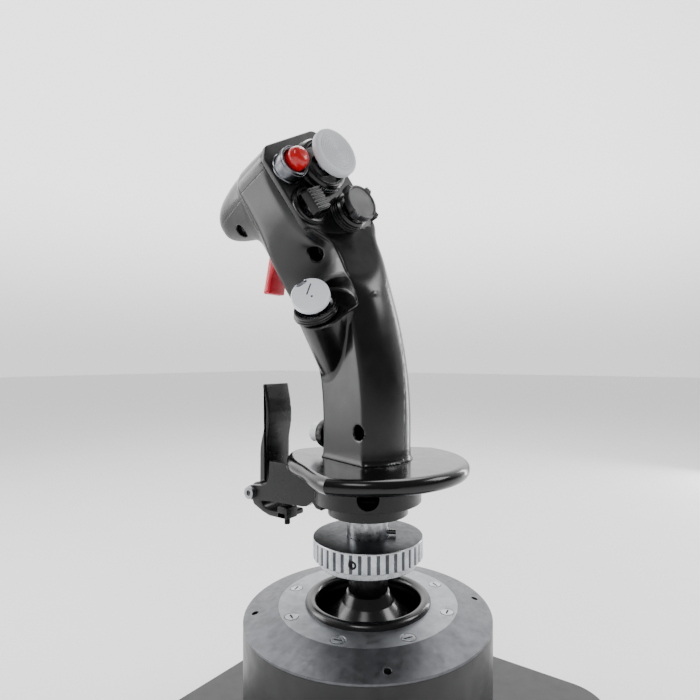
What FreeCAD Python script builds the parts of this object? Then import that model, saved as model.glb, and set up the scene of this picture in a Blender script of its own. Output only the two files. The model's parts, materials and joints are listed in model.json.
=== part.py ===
"""Flight joystick: round gimbal base, steel shaft, pistol grip with thumb hats, trigger and pinky lever.

Millimetres. Origin at the middle of the base's underside, on the axis of the upright shaft.
+Z is up, +Y points away from the pilot and +X to the pilot's right.
"""
import FreeCAD, Part
import math
import os

V = FreeCAD.Vector
X = V(1, 0, 0)
Y = V(0, 1, 0)
Z = V(0, 0, 1)
ORIGIN = V(0, 0, 0)

# ---- driving dimensions -------------------------------------------------------------------------
# base
FOOT_H = 3.0
FOOT_R = 10.0
PLATE_SIDE = 190.0
PLATE_T = 4.0
PLATE_CORNER_R = 22.0
FOOT_PITCH = 120.0
DESK_HOLE_PITCH = 150.0
DESK_HOLE_R = 2.75
HOUSING_R = 59.4
HOUSING_WALL = 3.0
DECK_Z = 66.0               # height of the housing's upper edge
DECK_RISE = 4.5             # the shoulder ring climbs this much towards the middle
SHOULDER_IN_R = 43.2
TOP_RING_IN_R = 28.6
TOP_RING_T = 3.0
RIM_TUBE_R = 2.7
RIM_MID_R = 27.8
RING_SCREW_PCD = 77.6
RING_SCREW_COUNT = 8
RING_SCREW_START = 16.0
SCREW_R = 1.5
SCREW_HEAD_R = 3.0
# gimbal
PIVOT_Z = 36.0
GIMBAL_OUT_R = 27.0
GIMBAL_IN_R = 20.0
GIMBAL_HALF_H = 7.0
PIN_R = 4.0
RUNNING_GAP = 0.05
BEARING_R = 7.0
BRACKET_IN_Y = 37.0
BRACKET_T = 5.0
BRACKET_HALF_W = 12.0
HUB_SIZE = V(29.0, 20.0, 24.0)
DOME_R = 34.0
DOME_T = 2.0
DOME_HALF_ANGLE = 62.0
SPRING_STRIP = 0.4
SPRING_PITCH = 1.0
SPRING_WIDTH = 3.4
# shaft and locking ring
SLEEVE_R = 9.7
SHAFT_R = 10.2
SHAFT_BORE_R = 6.5
RING_Z = DECK_Z + 23.3
RING_R = 26.7
RING_LIP_R = 24.0
RING_LIP_H = 3.5
RING_KNURL_H = 9.6
RING_FLUTES = 40
RING_FLUTE_R = 1.25
KEY_ANGLE = -62.0
SET_SCREW_ANGLE = 200.0
NECK_Z = DECK_Z + 47.5
NECK_R = 19.6
NECK_H = 6.2
DRUM_R = 26.0
DRUM_Z = NECK_Z + NECK_H
DRUM_WALL = 3.0
DRUM_HOLE_R = 5.0
DRUM_HOLE_ANGLE = 215.0
REST_T = 7.2
REST_R = 49.0
REST_EDGE_R = 3.4
GRIP_Z = DECK_Z + 73.6      # top face of the hand rest, where the handle starts
# handle
BEND_START_Z = DECK_Z + 90.0
BEND_END_Z = DECK_Z + 148.0
BEND_RATE = 0.0027
LEAN_LEFT = 0.40
LEAN_AHEAD = 0.72
REACH_START_Z = DECK_Z + 125.0
REACH_RATE = 0.4
HANDLE_TOP_Z = DECK_Z + 186.0
SHELL_WALL = 3.0
SEAM_TILT = 4.4
PINKY_Z = DECK_Z + 84.0
PINKY_HOLE_R = 5.6
SCREW_WELL_R = 3.4          # counterbores for the screws that close the shells
SCREW_WELL_D = 7.0
SHELL_SCREW_R = 1.3
# head
HEAD_ORIGIN = V(8.0, 3.0, DECK_Z + 188.0)
HEAD_YAW = 12.4
HEAD_PITCH = 16.4
HEAD_CANT = 28.0
PANEL_T = 3.0
BLOCK_DEPTH = 30.0
NOSE_DEPTH = 72.0
COVER_U = 44.5
# thumb pod on the left of the handle
POD_FACE = V(-35.0, 7.0, DECK_Z + 151.0)
POD_RISE = 47.0
POD_BACK = 15.4
POD_R = 12.0
# controls
HAT_BALL_R = 2.5
HAT_GAP = 0.3
# paddle
HINGE_Y = 62.7
HINGE_Z = DECK_Z + 51.4
EAR_OUT_X = 18.0
EAR_T = 3.6
PADDLE_HALF_W = 9.0
PADDLE_PIN_R = 1.8
# trigger
TRIGGER_X = -10.0
TRIGGER_HALF_W = 6.0
TRIGGER_PIVOT_Y = 44.0
TRIGGER_PIVOT_Z = DECK_Z + 186.0


# ---- helpers ------------------------------------------------------------------------------------
def frame(origin, z_axis, x_hint=X):
    """Placement whose local Z runs along z_axis and whose local X lies near x_hint."""
    z = V(z_axis)
    z.normalize()
    y = z.cross(x_hint)
    y.normalize()
    x = y.cross(z)
    matrix = FreeCAD.Matrix(x.x, y.x, z.x, origin.x, x.y, y.y, z.y, origin.y,
                            x.z, y.z, z.z, origin.z, 0, 0, 0, 1)
    return FreeCAD.Placement(matrix)


def placed(shape, placement):
    return shape.transformed(placement.toMatrix())


def disc(radius, z0, z1):
    return Part.makeCylinder(radius, z1 - z0, V(0, 0, z0))


def tube(outer, inner, z0, z1):
    return disc(outer, z0, z1).cut(disc(inner, z0 - 1, z1 + 1))


def rod(radius, start, end):
    span = end.sub(start)
    return Part.makeCylinder(radius, span.Length, start, span)


def box(x0, x1, y0, y1, z0, z1):
    return Part.makeBox(x1 - x0, y1 - y0, z1 - z0, V(x0, y0, z0))


def turned(profile, axis_point=ORIGIN, axis=Z):
    """Solid of revolution of a closed list of points."""
    return Part.Face(Part.makePolygon(profile + [profile[0]])).revolve(axis_point, axis, 360)


def slab(points, z0, z1):
    """Straight-sided plate from an outline of (x, y) points."""
    outline = [V(x, y, z0) for x, y in points]
    return Part.Face(Part.makePolygon(outline + [outline[0]])).extrude(V(0, 0, z1 - z0))


def side_slab(points, x0, x1):
    """Plate with an outline of (y, z) points, running from x0 to x1."""
    outline = [V(x0, y, z) for y, z in points]
    return Part.Face(Part.makePolygon(outline + [outline[0]])).extrude(V(x1 - x0, 0, 0))


def rounded_square(side, corner, z0, z1):
    half = side / 2
    plate = box(-half, half, -half, half, z0, z1)
    uprights = [e for e in plate.Edges if abs(e.tangentAt(e.FirstParameter).z) > 0.9]
    return plate.makeFillet(corner, uprights)


def around(shape, count, start=0.0):
    """Copies of a shape, evenly spaced round the Z axis."""
    copies = []
    for k in range(count):
        copy = shape.copy()
        copy.rotate(ORIGIN, Z, start + 360.0 * k / count)
        copies.append(copy)
    return copies


def at_corners(shape, pitch):
    half = pitch / 2
    return [shape.translated(V(sx * half, sy * half, 0)) for sx in (-1, 1) for sy in (-1, 1)]


def cut_all(shape, tools):
    return shape.cut(Part.makeCompound(tools))


def fuse_all(shapes):
    return shapes[0].multiFuse(shapes[1:]).removeSplitter()


def fuse_in_turn(shapes):
    """Union of curved bodies, one at a time, with every seam edge kept."""
    whole = shapes[0]
    for shape in shapes[1:]:
        whole = whole.fuse(shape)
    return whole


def spiral_spring(inner, half_turns, start, axis):
    """Flat clock spring round a pin, standing on start: half circles that step outwards."""
    edges = []
    ends = []
    for offset in (-SPRING_STRIP / 2, SPRING_STRIP / 2):
        for k in range(half_turns):
            side = 1 if k % 2 == 0 else -1
            radius = inner + SPRING_STRIP / 2 + k * SPRING_PITCH / 2
            centre = V(side * SPRING_PITCH / 4, 0, 0)
            reach = V(radius + offset, 0, 0).multiply(side)
            first = centre.sub(reach)
            last = centre.add(reach)
            edges.append(Part.Arc(first, centre.add(V(0, side * reach.Length, 0)), last).toShape())
            if k == 0:
                ends.append(first)
        ends.append(last)
    edges.append(Part.makeLine(ends[0], ends[2]))
    edges.append(Part.makeLine(ends[1], ends[3]))
    outline = Part.Wire(Part.__sortEdges__(edges))
    return placed(Part.Face(outline).extrude(V(0, 0, SPRING_WIDTH)), frame(start, axis, V(0.3, 0.2, 0.9)))


# ---- base ---------------------------------------------------------------------------------------
PLATE_TOP = FOOT_H + PLATE_T


def base_plate():
    plate = rounded_square(PLATE_SIDE, PLATE_CORNER_R, FOOT_H, PLATE_TOP)
    plate = cut_all(plate, at_corners(disc(DESK_HOLE_R, 0, 20), DESK_HOLE_PITCH))
    return cut_all(plate, housing_screws())


def base_feet():
    return Part.makeCompound(at_corners(disc(FOOT_R, 0, FOOT_H), FOOT_PITCH))


HOUSING_TOP = DECK_Z - 1.0


def base_housing():
    wall = tube(HOUSING_R, HOUSING_R - HOUSING_WALL, PLATE_TOP, HOUSING_TOP)
    lug = box(HOUSING_R - 9, HOUSING_R - 1, -4, 4, PLATE_TOP, PLATE_TOP + 8)
    gland_hole = rod(5.0, V(0, HOUSING_R - 8, 20), V(0, HOUSING_R + 4, 20))
    housing = fuse_all([wall] + around(lug, 4, 45)).cut(gland_hole)
    return cut_all(housing, housing_screws())


def housing_screws():
    """Screws up through the plate into the housing's lugs, with flat heads under the plate."""
    screw = disc(SCREW_R, FOOT_H, PLATE_TOP + 6).fuse(disc(SCREW_HEAD_R, FOOT_H - 1.6, FOOT_H))
    return around(screw.translated(V(HOUSING_R - 5, 0, 0)), 4, 45)


def shoulder_ring():
    ring = turned([V(HOUSING_R, 0, HOUSING_TOP), V(HOUSING_R, 0, DECK_Z),
                   V(SHOULDER_IN_R, 0, DECK_Z + DECK_RISE), V(SHOULDER_IN_R, 0, HOUSING_TOP)])
    return cut_all(ring, around(disc(1.6, DECK_Z - 3, DECK_Z + 9).translated(V(54, 0, 0)), 4, 43))


def ring_screw_at():
    return V(RING_SCREW_PCD / 2, 0, 0)


def countersink(z_top, head_r):
    """Screw with a countersunk head, its top at z_top."""
    cone = Part.makeCone(SCREW_R, head_r, 1.7, V(0, 0, z_top - 1.7))
    return cone.fuse(disc(SCREW_R, z_top - 6, z_top - 1.7)).translated(ring_screw_at())


TOP_RING_Z = DECK_Z + DECK_RISE


def top_ring():
    ring = tube(SHOULDER_IN_R, TOP_RING_IN_R, TOP_RING_Z - TOP_RING_T, TOP_RING_Z)
    return cut_all(ring, around(countersink(TOP_RING_Z, SCREW_HEAD_R + 0.4), RING_SCREW_COUNT, RING_SCREW_START))


def top_ring_screws():
    screw = countersink(TOP_RING_Z, SCREW_HEAD_R)
    slot = box(-0.4, 0.4, -2.0, 2.0, TOP_RING_Z - 0.9, TOP_RING_Z + 1).translated(ring_screw_at())
    return Part.makeCompound(around(screw.cut(slot), RING_SCREW_COUNT, RING_SCREW_START))


def ring_frame():
    """Ledge under the top ring that its screws go into."""
    ledge = tube(SHOULDER_IN_R, 35.5, HOUSING_TOP - 4, TOP_RING_Z - TOP_RING_T)
    holes = around(disc(SCREW_R, 0, 90).translated(ring_screw_at()), RING_SCREW_COUNT, RING_SCREW_START)
    return cut_all(ledge, holes)


def boot_rim():
    lip = Part.makeTorus(RIM_MID_R, RIM_TUBE_R, V(0, 0, TOP_RING_Z))
    skirt = tube(TOP_RING_IN_R, RIM_MID_R - 1.6, TOP_RING_Z - TOP_RING_T - 1, TOP_RING_Z)
    return lip.fuse(skirt).cut(tube(60, TOP_RING_IN_R, TOP_RING_Z - 9, TOP_RING_Z))


def gimbal_bracket():
    foot = box(-BRACKET_HALF_W - 4, BRACKET_HALF_W + 4, -48, 48, PLATE_TOP, PLATE_TOP + 4)
    parts = [foot]
    for side in (-1, 1):
        inner = side * BRACKET_IN_Y
        outer = side * (BRACKET_IN_Y + BRACKET_T)
        y0, y1 = sorted((inner, outer))
        parts.append(box(-BRACKET_HALF_W, BRACKET_HALF_W, y0, y1, PLATE_TOP + 4, PIVOT_Z))
        parts.append(rod(BRACKET_HALF_W, V(0, y0, PIVOT_Z), V(0, y1, PIVOT_Z)))
    return fuse_all(parts).cut(rod(BEARING_R, V(0, -60, PIVOT_Z), V(0, 60, PIVOT_Z)))


def annulus(outer, inner, centre, axis, length):
    end = centre.add(V(axis).multiply(length))
    return rod(outer, centre, end).cut(rod(inner, centre, end))


def roll_bearings():
    rings = []
    for side in (-1, 1):
        start = V(0, side * BRACKET_IN_Y, PIVOT_Z)
        rings.append(annulus(BEARING_R, PIN_R + RUNNING_GAP, start, V(0, side, 0), BRACKET_T))
    return Part.makeCompound(rings)


def roll_pins():
    pins = []
    for side in (-1, 1):
        start = V(0, side * (GIMBAL_IN_R + 0.5), PIVOT_Z)
        end = V(0, side * 48.0, PIVOT_Z)
        pins.append(rod(PIN_R, start, end))
    return Part.makeCompound(pins)


def sensor_cup(start, axis):
    """Cup with a circuit board in its end, over a magnet on the end of a pin."""
    closed_end = start.add(V(axis).multiply(9.0))
    wall = annulus(9.0, 7.0, start, axis, 9.0)
    return wall.fuse(rod(9.0, closed_end, closed_end.add(V(axis).multiply(1.6))))


def roll_sensor():
    return sensor_cup(V(0, BRACKET_IN_Y + BRACKET_T, PIVOT_Z), Y)


def pitch_sensor():
    return sensor_cup(V(GIMBAL_OUT_R - 0.6, 0, PIVOT_Z), X).cut(disc(GIMBAL_OUT_R, 0, 90))


def roll_spring():
    return spiral_spring(PIN_R + 0.6, 5, V(0, -BRACKET_IN_Y - BRACKET_T - 1, PIVOT_Z), V(0, -1, 0))


def pitch_spring():
    return spiral_spring(PIN_R + 0.6, 5, V(-GIMBAL_OUT_R - 1, 0, PIVOT_Z), V(-1, 0, 0))


def main_board():
    board = box(-53, -39, -14, 14, PLATE_TOP + 5, PLATE_TOP + 6.6)
    chip = box(-49, -43, -3, 3, PLATE_TOP + 6.6, PLATE_TOP + 8)
    socket = box(-50, -42, 7, 13, PLATE_TOP + 6.6, PLATE_TOP + 11)
    posts = [disc(1.8, PLATE_TOP, PLATE_TOP + 5).translated(V(-46, y, 0)) for y in (-11, 11)]
    return fuse_all([board, chip, socket] + posts)


def cable_gland():
    centre = V(0, HOUSING_R - HOUSING_WALL - 1, 20)
    barrel = annulus(4.9, 2.6, centre, Y, 14.0)
    collar = annulus(7.5, 4.9, V(0, HOUSING_R + 0.1, 20), Y, 4.0)
    return barrel.fuse(collar)


# ---- gimbal and stick foot ----------------------------------------------------------------------
def gimbal_ring():
    ring = tube(GIMBAL_OUT_R, GIMBAL_IN_R, PIVOT_Z - GIMBAL_HALF_H, PIVOT_Z + GIMBAL_HALF_H)
    pin_hole = rod(PIN_R, V(0, -40, PIVOT_Z), V(0, 40, PIVOT_Z))
    bearing_hole = rod(6.0, V(-40, 0, PIVOT_Z), V(40, 0, PIVOT_Z))
    return ring.cut(pin_hole).cut(bearing_hole)


def pitch_bearings():
    rings = []
    for side in (-1, 1):
        bush = annulus(6.0, PIN_R + RUNNING_GAP, V(side * 19.0, 0, PIVOT_Z), V(side, 0, 0), 9.0)
        rings.append(bush.common(tube(GIMBAL_OUT_R, GIMBAL_IN_R, 0, 90)))
    return Part.makeCompound(rings)


def gimbal_hub():
    half = HUB_SIZE.multiply(0.5)
    block = box(-half.x, half.x, -half.y, half.y, PIVOT_Z - half.z, PIVOT_Z + half.z)
    pin_hole = rod(PIN_R, V(-40, 0, PIVOT_Z), V(40, 0, PIVOT_Z))
    return block.cut(pin_hole).cut(disc(3.0, 0, 90))


def pitch_pins():
    pins = [rod(PIN_R, V(side * 8.0, 0, PIVOT_Z), V(side * 33.5, 0, PIVOT_Z)) for side in (-1, 1)]
    return Part.makeCompound(pins)


HUB_TOP = PIVOT_Z + 12.0


def dust_dome():
    centre = V(0, 0, PIVOT_Z)
    shell = Part.makeSphere(DOME_R, centre).cut(Part.makeSphere(DOME_R - DOME_T, centre))
    edge_z = DOME_R * math.cos(math.radians(DOME_HALF_ANGLE))
    cap = shell.common(disc(60, PIVOT_Z + edge_z, 200))
    collar_z = PIVOT_Z + DOME_R
    flare = turned([V(SLEEVE_R, 0, collar_z - 4), V(SLEEVE_R + 9, 0, collar_z - 5.8),
                    V(SLEEVE_R + 3, 0, collar_z + 0.5), V(SLEEVE_R + 0.8, 0, collar_z + 5),
                    V(SLEEVE_R, 0, collar_z + 5)])
    return cap.fuse(flare).cut(disc(SLEEVE_R, 0, 200))


def shaft_sleeve():
    return tube(SLEEVE_R, SHAFT_BORE_R, HUB_TOP, RING_Z - 1.0)


def steel_shaft():
    return tube(SHAFT_R, SHAFT_BORE_R, RING_Z - 1.0, DRUM_Z + 3.0).cut(key_pin())


RING_TOP = RING_Z + RING_LIP_H + RING_KNURL_H


def key_pin():
    pin = rod(1.1, V(7.5, 0, RING_TOP + 1.6), V(13.6, 0, RING_TOP + 1.6))
    pin.rotate(ORIGIN, Z, KEY_ANGLE)
    return pin


def locking_ring():
    body = disc(RING_LIP_R, RING_Z, RING_Z + RING_LIP_H)
    knurl = disc(RING_R, RING_Z + RING_LIP_H, RING_TOP)
    flute = disc(RING_FLUTE_R, RING_Z, RING_TOP - 0.8).translated(V(RING_R + 0.55, 0, 0))
    knurl = cut_all(knurl, around(flute, RING_FLUTES))
    ring = body.fuse(knurl).cut(disc(SHAFT_R + RUNNING_GAP, 0, 300))
    hole = rod(1.7, V(12, 0, RING_TOP - 5.2), V(40, 0, RING_TOP - 5.2))
    hole.rotate(ORIGIN, Z, SET_SCREW_ANGLE)
    return ring.cut(hole)


def set_screw():
    screw = rod(1.7, V(12, 0, RING_TOP - 5.2), V(24.5, 0, RING_TOP - 5.2))
    socket = rod(0.8, V(22.5, 0, RING_TOP - 5.2), V(26, 0, RING_TOP - 5.2))
    screw = screw.cut(socket)
    screw.rotate(ORIGIN, Z, SET_SCREW_ANGLE)
    return screw


def neck_flange():
    return tube(NECK_R, SHAFT_R, NECK_Z, DRUM_Z)


# ---- hand rest and paddle bracket ---------------------------------------------------------------
REST_Z = GRIP_Z - REST_T


def rest_outline(z):
    """Closed edge of the hand rest: round at the back, drawn out to an egg shape in front."""
    right = [(47.2, -11.0), (43.6, -1.7), (34.7, 12.9), (27.0, 26.6), (10.8, 43.0), (0.0, 47.5)]
    front = [V(x, y, z) for x, y in right] + [V(-x, y, z) for x, y in reversed(right[:-1])]
    curve = Part.BSplineCurve()
    curve.interpolate(front)
    back = Part.Arc(front[-1], V(0, -REST_R, z), front[0])
    return Part.Wire([curve.toShape(), back.toShape()])


def hand_rest():
    plate = Part.Face(rest_outline(REST_Z)).extrude(V(0, 0, REST_T))
    rims = [e for e in plate.Edges if abs(e.BoundBox.ZLength) < 0.1]
    plate = plate.makeFillet(REST_EDGE_R, rims)
    return plate.cut(disc(SHAFT_BORE_R, 0, 400))


EAR_LOW_Z = DECK_Z + 49.6
EAR_TOP_Z = DECK_Z + 69.2


def ear(side):
    outline = [(10, DRUM_Z + 1), (14.4, DRUM_Z + 1), (14.6, EAR_LOW_Z), (18, EAR_LOW_Z + 0.6), (20.5, EAR_LOW_Z + 3.2),
               (24, EAR_LOW_Z + 0.6), (27, EAR_LOW_Z), (46, EAR_LOW_Z - 0.6), (HINGE_Y, HINGE_Z - 3.9),
               (HINGE_Y + 2.6, HINGE_Z - 2.8), (HINGE_Y + 3.9, HINGE_Z), (HINGE_Y + 2.8, HINGE_Z + 2.8),
               (HINGE_Y, HINGE_Z + 3.9), (55, HINGE_Z + 4.6), (51.4, HINGE_Z + 6.6), (49.7, HINGE_Z + 9.4),
               (49.3, EAR_TOP_Z), (10, EAR_TOP_Z)]
    x0, x1 = sorted((side * EAR_OUT_X, side * (EAR_OUT_X - EAR_T)))
    return side_slab(outline, x0, x1)


def drum_bracket():
    drum = disc(DRUM_R, DRUM_Z, REST_Z)
    web = box(-EAR_OUT_X + 1, EAR_OUT_X - 1, 14, 48, DECK_Z + 54.5, DECK_Z + 57.5)
    bracket = fuse_all([drum, ear(-1), ear(1), web])
    bracket = bracket.cut(disc(DRUM_R - DRUM_WALL, DRUM_Z + 3, REST_Z))
    bracket = bracket.cut(disc(SHAFT_R, 0, 400))
    rear_left = V(math.cos(math.radians(DRUM_HOLE_ANGLE)), math.sin(math.radians(DRUM_HOLE_ANGLE)), 0)
    start = V(0, 0, DRUM_Z + 6.4).add(V(rear_left).multiply(16))
    bracket = bracket.cut(rod(DRUM_HOLE_R, start, start.add(V(rear_left).multiply(20))))
    bracket = bracket.cut(rod(PADDLE_PIN_R, V(-30, HINGE_Y, HINGE_Z), V(30, HINGE_Y, HINGE_Z)))
    return bracket.cut(Part.Face(rest_outline(REST_Z)).extrude(V(0, 0, 20)))


def paddle_pin():
    shank = rod(PADDLE_PIN_R, V(-EAR_OUT_X, HINGE_Y, HINGE_Z), V(EAR_OUT_X, HINGE_Y, HINGE_Z))
    head = rod(3.2, V(-EAR_OUT_X - 2.2, HINGE_Y, HINGE_Z), V(-EAR_OUT_X, HINGE_Y, HINGE_Z))
    socket = rod(1.5, V(-EAR_OUT_X - 2.2, HINGE_Y, HINGE_Z), V(-EAR_OUT_X - 0.7, HINGE_Y, HINGE_Z))
    nut = rod(3.2, V(EAR_OUT_X, HINGE_Y, HINGE_Z), V(EAR_OUT_X + 2.4, HINGE_Y, HINGE_Z))
    return fuse_all([shank, head, nut]).cut(socket)


LEVER_HALF_W = EAR_OUT_X - EAR_T - 0.5
ARM_Z = DECK_Z + 40.5


def paddle_lever():
    blade = side_slab([(60.9, HINGE_Z - 2), (60.9, DECK_Z + 71), (60.3, DECK_Z + 78), (58.9, DECK_Z + 87),
                       (58.8, DECK_Z + 93), (59.8, DECK_Z + 100), (61.5, DECK_Z + 107), (61.8, DECK_Z + 108.4),
                       (63.9, DECK_Z + 108.4), (63.7, DECK_Z + 106.5), (62.4, DECK_Z + 101),
                       (61.9, DECK_Z + 95), (62.2, DECK_Z + 88), (64.0, DECK_Z + 82), (65.6, DECK_Z + 76),
                       (66.2, DECK_Z + 71), (66.4, HINGE_Z - 2)], -PADDLE_HALF_W, PADDLE_HALF_W)
    knuckle = rod(4.6, V(-LEVER_HALF_W, HINGE_Y, HINGE_Z), V(PADDLE_HALF_W, HINGE_Y, HINGE_Z))
    arm = side_slab([(HINGE_Y + 4.4, HINGE_Z - 1), (HINGE_Y + 3.6, ARM_Z + 3.6), (59, ARM_Z + 0.4),
                     (54, ARM_Z - 1.0), (42, ARM_Z - 1.0), (42, ARM_Z + 2.0), (54, ARM_Z + 2.0),
                     (58.5, ARM_Z + 3.6), (60.5, HINGE_Z - 1)], -LEVER_HALF_W, LEVER_HALF_W - 14)
    block = box(-LEVER_HALF_W, -LEVER_HALF_W + 8, 41, 48, ARM_Z - 1.0, ARM_Z + 5.0)
    lever = fuse_all([blade, knuckle, arm, block])
    bore = rod(PADDLE_PIN_R + RUNNING_GAP, V(-30, HINGE_Y, HINGE_Z), V(30, HINGE_Y, HINGE_Z))
    return lever.cut(bore).cut(stop_screw())


def stop_screw():
    centre = V(-LEVER_HALF_W + 4, 44.5, 0)
    shank = disc(1.5, DECK_Z + 36.0, DECK_Z + 54.2).translated(centre)
    nut = disc(2.9, ARM_Z + 5.0, ARM_Z + 7.2).translated(centre)
    return shank.fuse(nut)


def paddle_spring():
    """Return spring round the hinge pin, beside the lever's knuckle."""
    return spiral_spring(PADDLE_PIN_R + 0.5, 5, V(PADDLE_HALF_W + 0.8, HINGE_Y, HINGE_Z), X)


# ---- grip shells --------------------------------------------------------------------------------
def lean(z):
    """Sideways shift of the handle's section at height z: a circular bend, then straight."""
    if z <= BEND_START_Z:
        travel = 0.0
    elif z <= BEND_END_Z:
        travel = BEND_RATE * (z - BEND_START_Z) ** 2
    else:
        span = BEND_END_Z - BEND_START_Z
        travel = BEND_RATE * span ** 2 + 2 * BEND_RATE * span * (z - BEND_END_Z)
    return V(-LEAN_LEFT * travel, LEAN_AHEAD * travel, 0)


def handle_section(z, inset):
    """Flat left face with a crisp rear edge, then one smooth curve round the front, right and back."""
    reach = max(0.0, z - REACH_START_Z) * REACH_RATE
    front = [(-12.3, 14.7 + reach), (-8.0, 19.5 + reach), (2.0, 21.5 + reach), (11.0, 18.0 + reach), (17.0, 8.0)]
    back = [(17.0, 8.0), (19.0, -3.0), (15.5, -14.0), (6.0, -19.8), (-6.0, -20.0), (-14.5, -17.2), (-19.8, -11.6)]
    centre = V(0, 1.0 + reach / 2, z)

    def moved(point):
        offset = V(point[0], point[1], z).sub(centre)
        return centre.add(offset.multiply(1 - inset / max(offset.Length, 1))).add(lean(z))

    edges = []
    for points in (front, back):
        curve = Part.BSplineCurve()
        curve.interpolate([moved(p) for p in points])
        edges.append(curve.toShape())
    edges.append(Part.makeLine(moved(back[-1]), moved(front[0])))
    return Part.Wire(edges)


def handle_body(inset, z0, z1):
    steps = 6
    heights = [z0 + (z1 - z0) * k / steps for k in range(steps + 1)]
    return Part.makeLoft([handle_section(z, inset) for z in heights], True, False)


def head_frame():
    yaw = math.radians(HEAD_YAW)
    pitch = math.radians(HEAD_PITCH)
    cant = math.radians(HEAD_CANT)
    back = V(-math.sin(yaw) * math.cos(pitch), -math.cos(yaw) * math.cos(pitch), math.sin(pitch))
    level = V(math.cos(yaw), -math.sin(yaw), 0)
    rise = back.cross(level)
    right = V(level).multiply(math.cos(cant)).add(V(rise).multiply(math.sin(cant)))
    return frame(HEAD_ORIGIN, back, right)


HEAD = head_frame()
PANEL_OUTLINE = [(-41, 48), (-36, 53), (-2, 55), (4, 50), (5, 6), (1, 1), (-20, 2.5), (-30, 6), (-41, 14)]


def inset_outline(inset):
    centre_r = -18.0
    centre_u = 29.0
    scale_r = (23.0 - inset) / 23.0
    scale_u = (26.0 - inset) / 26.0
    return [(centre_r + (r - centre_r) * scale_r, centre_u + (u - centre_u) * scale_u) for r, u in PANEL_OUTLINE]


def nose_section(left, right, low, high, depth, inset):
    """Rounded rectangle across the nose, at a depth in front of the panel."""
    mid_r = (left + right) / 2
    mid_u = (low + high) / 2
    half_r = (right - left) / 2 - inset
    half_u = (high - low) / 2 - inset
    points = []
    for k in range(12):
        angle = 2 * math.pi * (k + 0.5) / 12
        c = math.cos(angle)
        s = math.sin(angle)
        points.append(V(mid_r + half_r * math.copysign(abs(c) ** 0.7, c),
                        mid_u + half_u * math.copysign(abs(s) ** 0.7, s), -depth))
    curve = Part.BSplineCurve()
    curve.interpolate(points, PeriodicFlag=True)
    return Part.Wire(curve.toShape())


def nose_body(inset):
    spans = [(-38, 0, 12, 56, 20), (-35, -2, 20, 57, 36), (-32, -5, 27, 56, 52),
             (-30, -8, 31, 54, 64), (-27, -11, 35, 50, NOSE_DEPTH)]
    wires = [nose_section(left, right, low, high, depth - inset, inset) for left, right, low, high, depth in spans]
    return placed(Part.makeLoft(wires, True, False), HEAD)


def block_body(inset):
    block = slab(inset_outline(inset), -BLOCK_DEPTH + inset, -PANEL_T)
    return placed(block, HEAD)


def shoulder_body(inset):
    """Wedge that carries the head's left side down onto the handle and the thumb pod."""
    top = [V(-38 + inset, 17, -PANEL_T - inset), V(0 - inset, 17, -PANEL_T - inset),
           V(0 - inset, 17, -BLOCK_DEPTH + inset), V(-38 + inset, 17, -BLOCK_DEPTH + inset)]
    top = [HEAD.multVec(p) for p in top]
    z = DECK_Z + 146.0
    low = [V(-24 + inset, -3 + inset, z), V(4 - inset, -3 + inset, z),
           V(4 - inset, 27 - inset, z), V(-24 + inset, 27 - inset, z)]
    wires = [Part.makePolygon(ring + [ring[0]]) for ring in (low, top)]
    return Part.makeLoft(wires, True, True)


def pod_axis():
    rise = math.radians(POD_RISE)
    back = math.radians(POD_BACK)
    return V(-math.cos(rise) * math.cos(back), -math.cos(rise) * math.sin(back), math.sin(rise))


POD = frame(POD_FACE, pod_axis(), Y)
POD_TOP = -10.6             # depth of the pod's end under the thumb hat's face
POD_WELL_R = 8.0
LEDGE_R = 17.0              # room round the thumb hat, cut out of the grip's side


def pod_body(inset):
    return placed(disc(POD_R - inset, -44, POD_TOP - inset), POD)


def shell_screw_sites():
    """Counterbores in the left side: start point outside, and direction inwards."""
    across = HEAD.Rotation.multVec(X)
    return [(V(-19.0, -7.4, DECK_Z + 88.5), V(0.96, -0.27, 0)),
            (HEAD.multVec(V(-37, 8, -10)), across),
            (HEAD.multVec(V(-34, 36, -50)), across)]


def above_panel():
    """Space above the switch panel, and above the slope that runs from its lower edge to the handle."""
    space = side_slab([(80, 0), (0, 0), (-30, 10.5), (-30, 60), (80, 60)], -80, 60)
    return placed(space.fuse(slab(PANEL_OUTLINE, -PANEL_T, 5)), HEAD)


def ledge_space(radius, depth):
    return placed(disc(radius, POD_TOP - depth, 40), POD)


def left_of_seam():
    half = Part.makeBox(200, 300, 400, V(-200, -150, 0))
    half.rotate(V(0, 0, GRIP_Z), Y, -SEAM_TILT)
    return half


def grip_outer():
    body = fuse_in_turn([handle_body(0, GRIP_Z, HANDLE_TOP_Z), block_body(0), nose_body(0),
                         shoulder_body(0), pod_body(0)])
    return body.cut(above_panel()).cut(ledge_space(LEDGE_R, 0))


def grip_inner():
    wall = SHELL_WALL
    space = fuse_in_turn([handle_body(wall, GRIP_Z + 4, HANDLE_TOP_Z - 8), block_body(wall),
                          nose_body(wall), pod_body(wall)])
    back = HEAD.Rotation.multVec(Z)
    return space.cut(above_panel().translated(V(back).multiply(-wall))).cut(ledge_space(LEDGE_R + wall, wall))


def trigger_slot():
    """Opening in the front for the blade, with a wider chamber round its hinge frame."""
    blade_w = TRIGGER_HALF_W + 0.6
    frame_w = TRIGGER_HALF_W + 2.3
    slot = box(TRIGGER_X - blade_w, TRIGGER_X + blade_w, TRIGGER_PIVOT_Y - 8, TRIGGER_PIVOT_Y + 14,
               TRIGGER_PIVOT_Z - 24, TRIGGER_PIVOT_Z + 6)
    chamber = box(TRIGGER_X - frame_w, TRIGGER_X + frame_w, TRIGGER_PIVOT_Y - 12, TRIGGER_PIVOT_Y + 5,
                  TRIGGER_PIVOT_Z - 9, TRIGGER_PIVOT_Z + 6)
    return slot.fuse(chamber)


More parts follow.
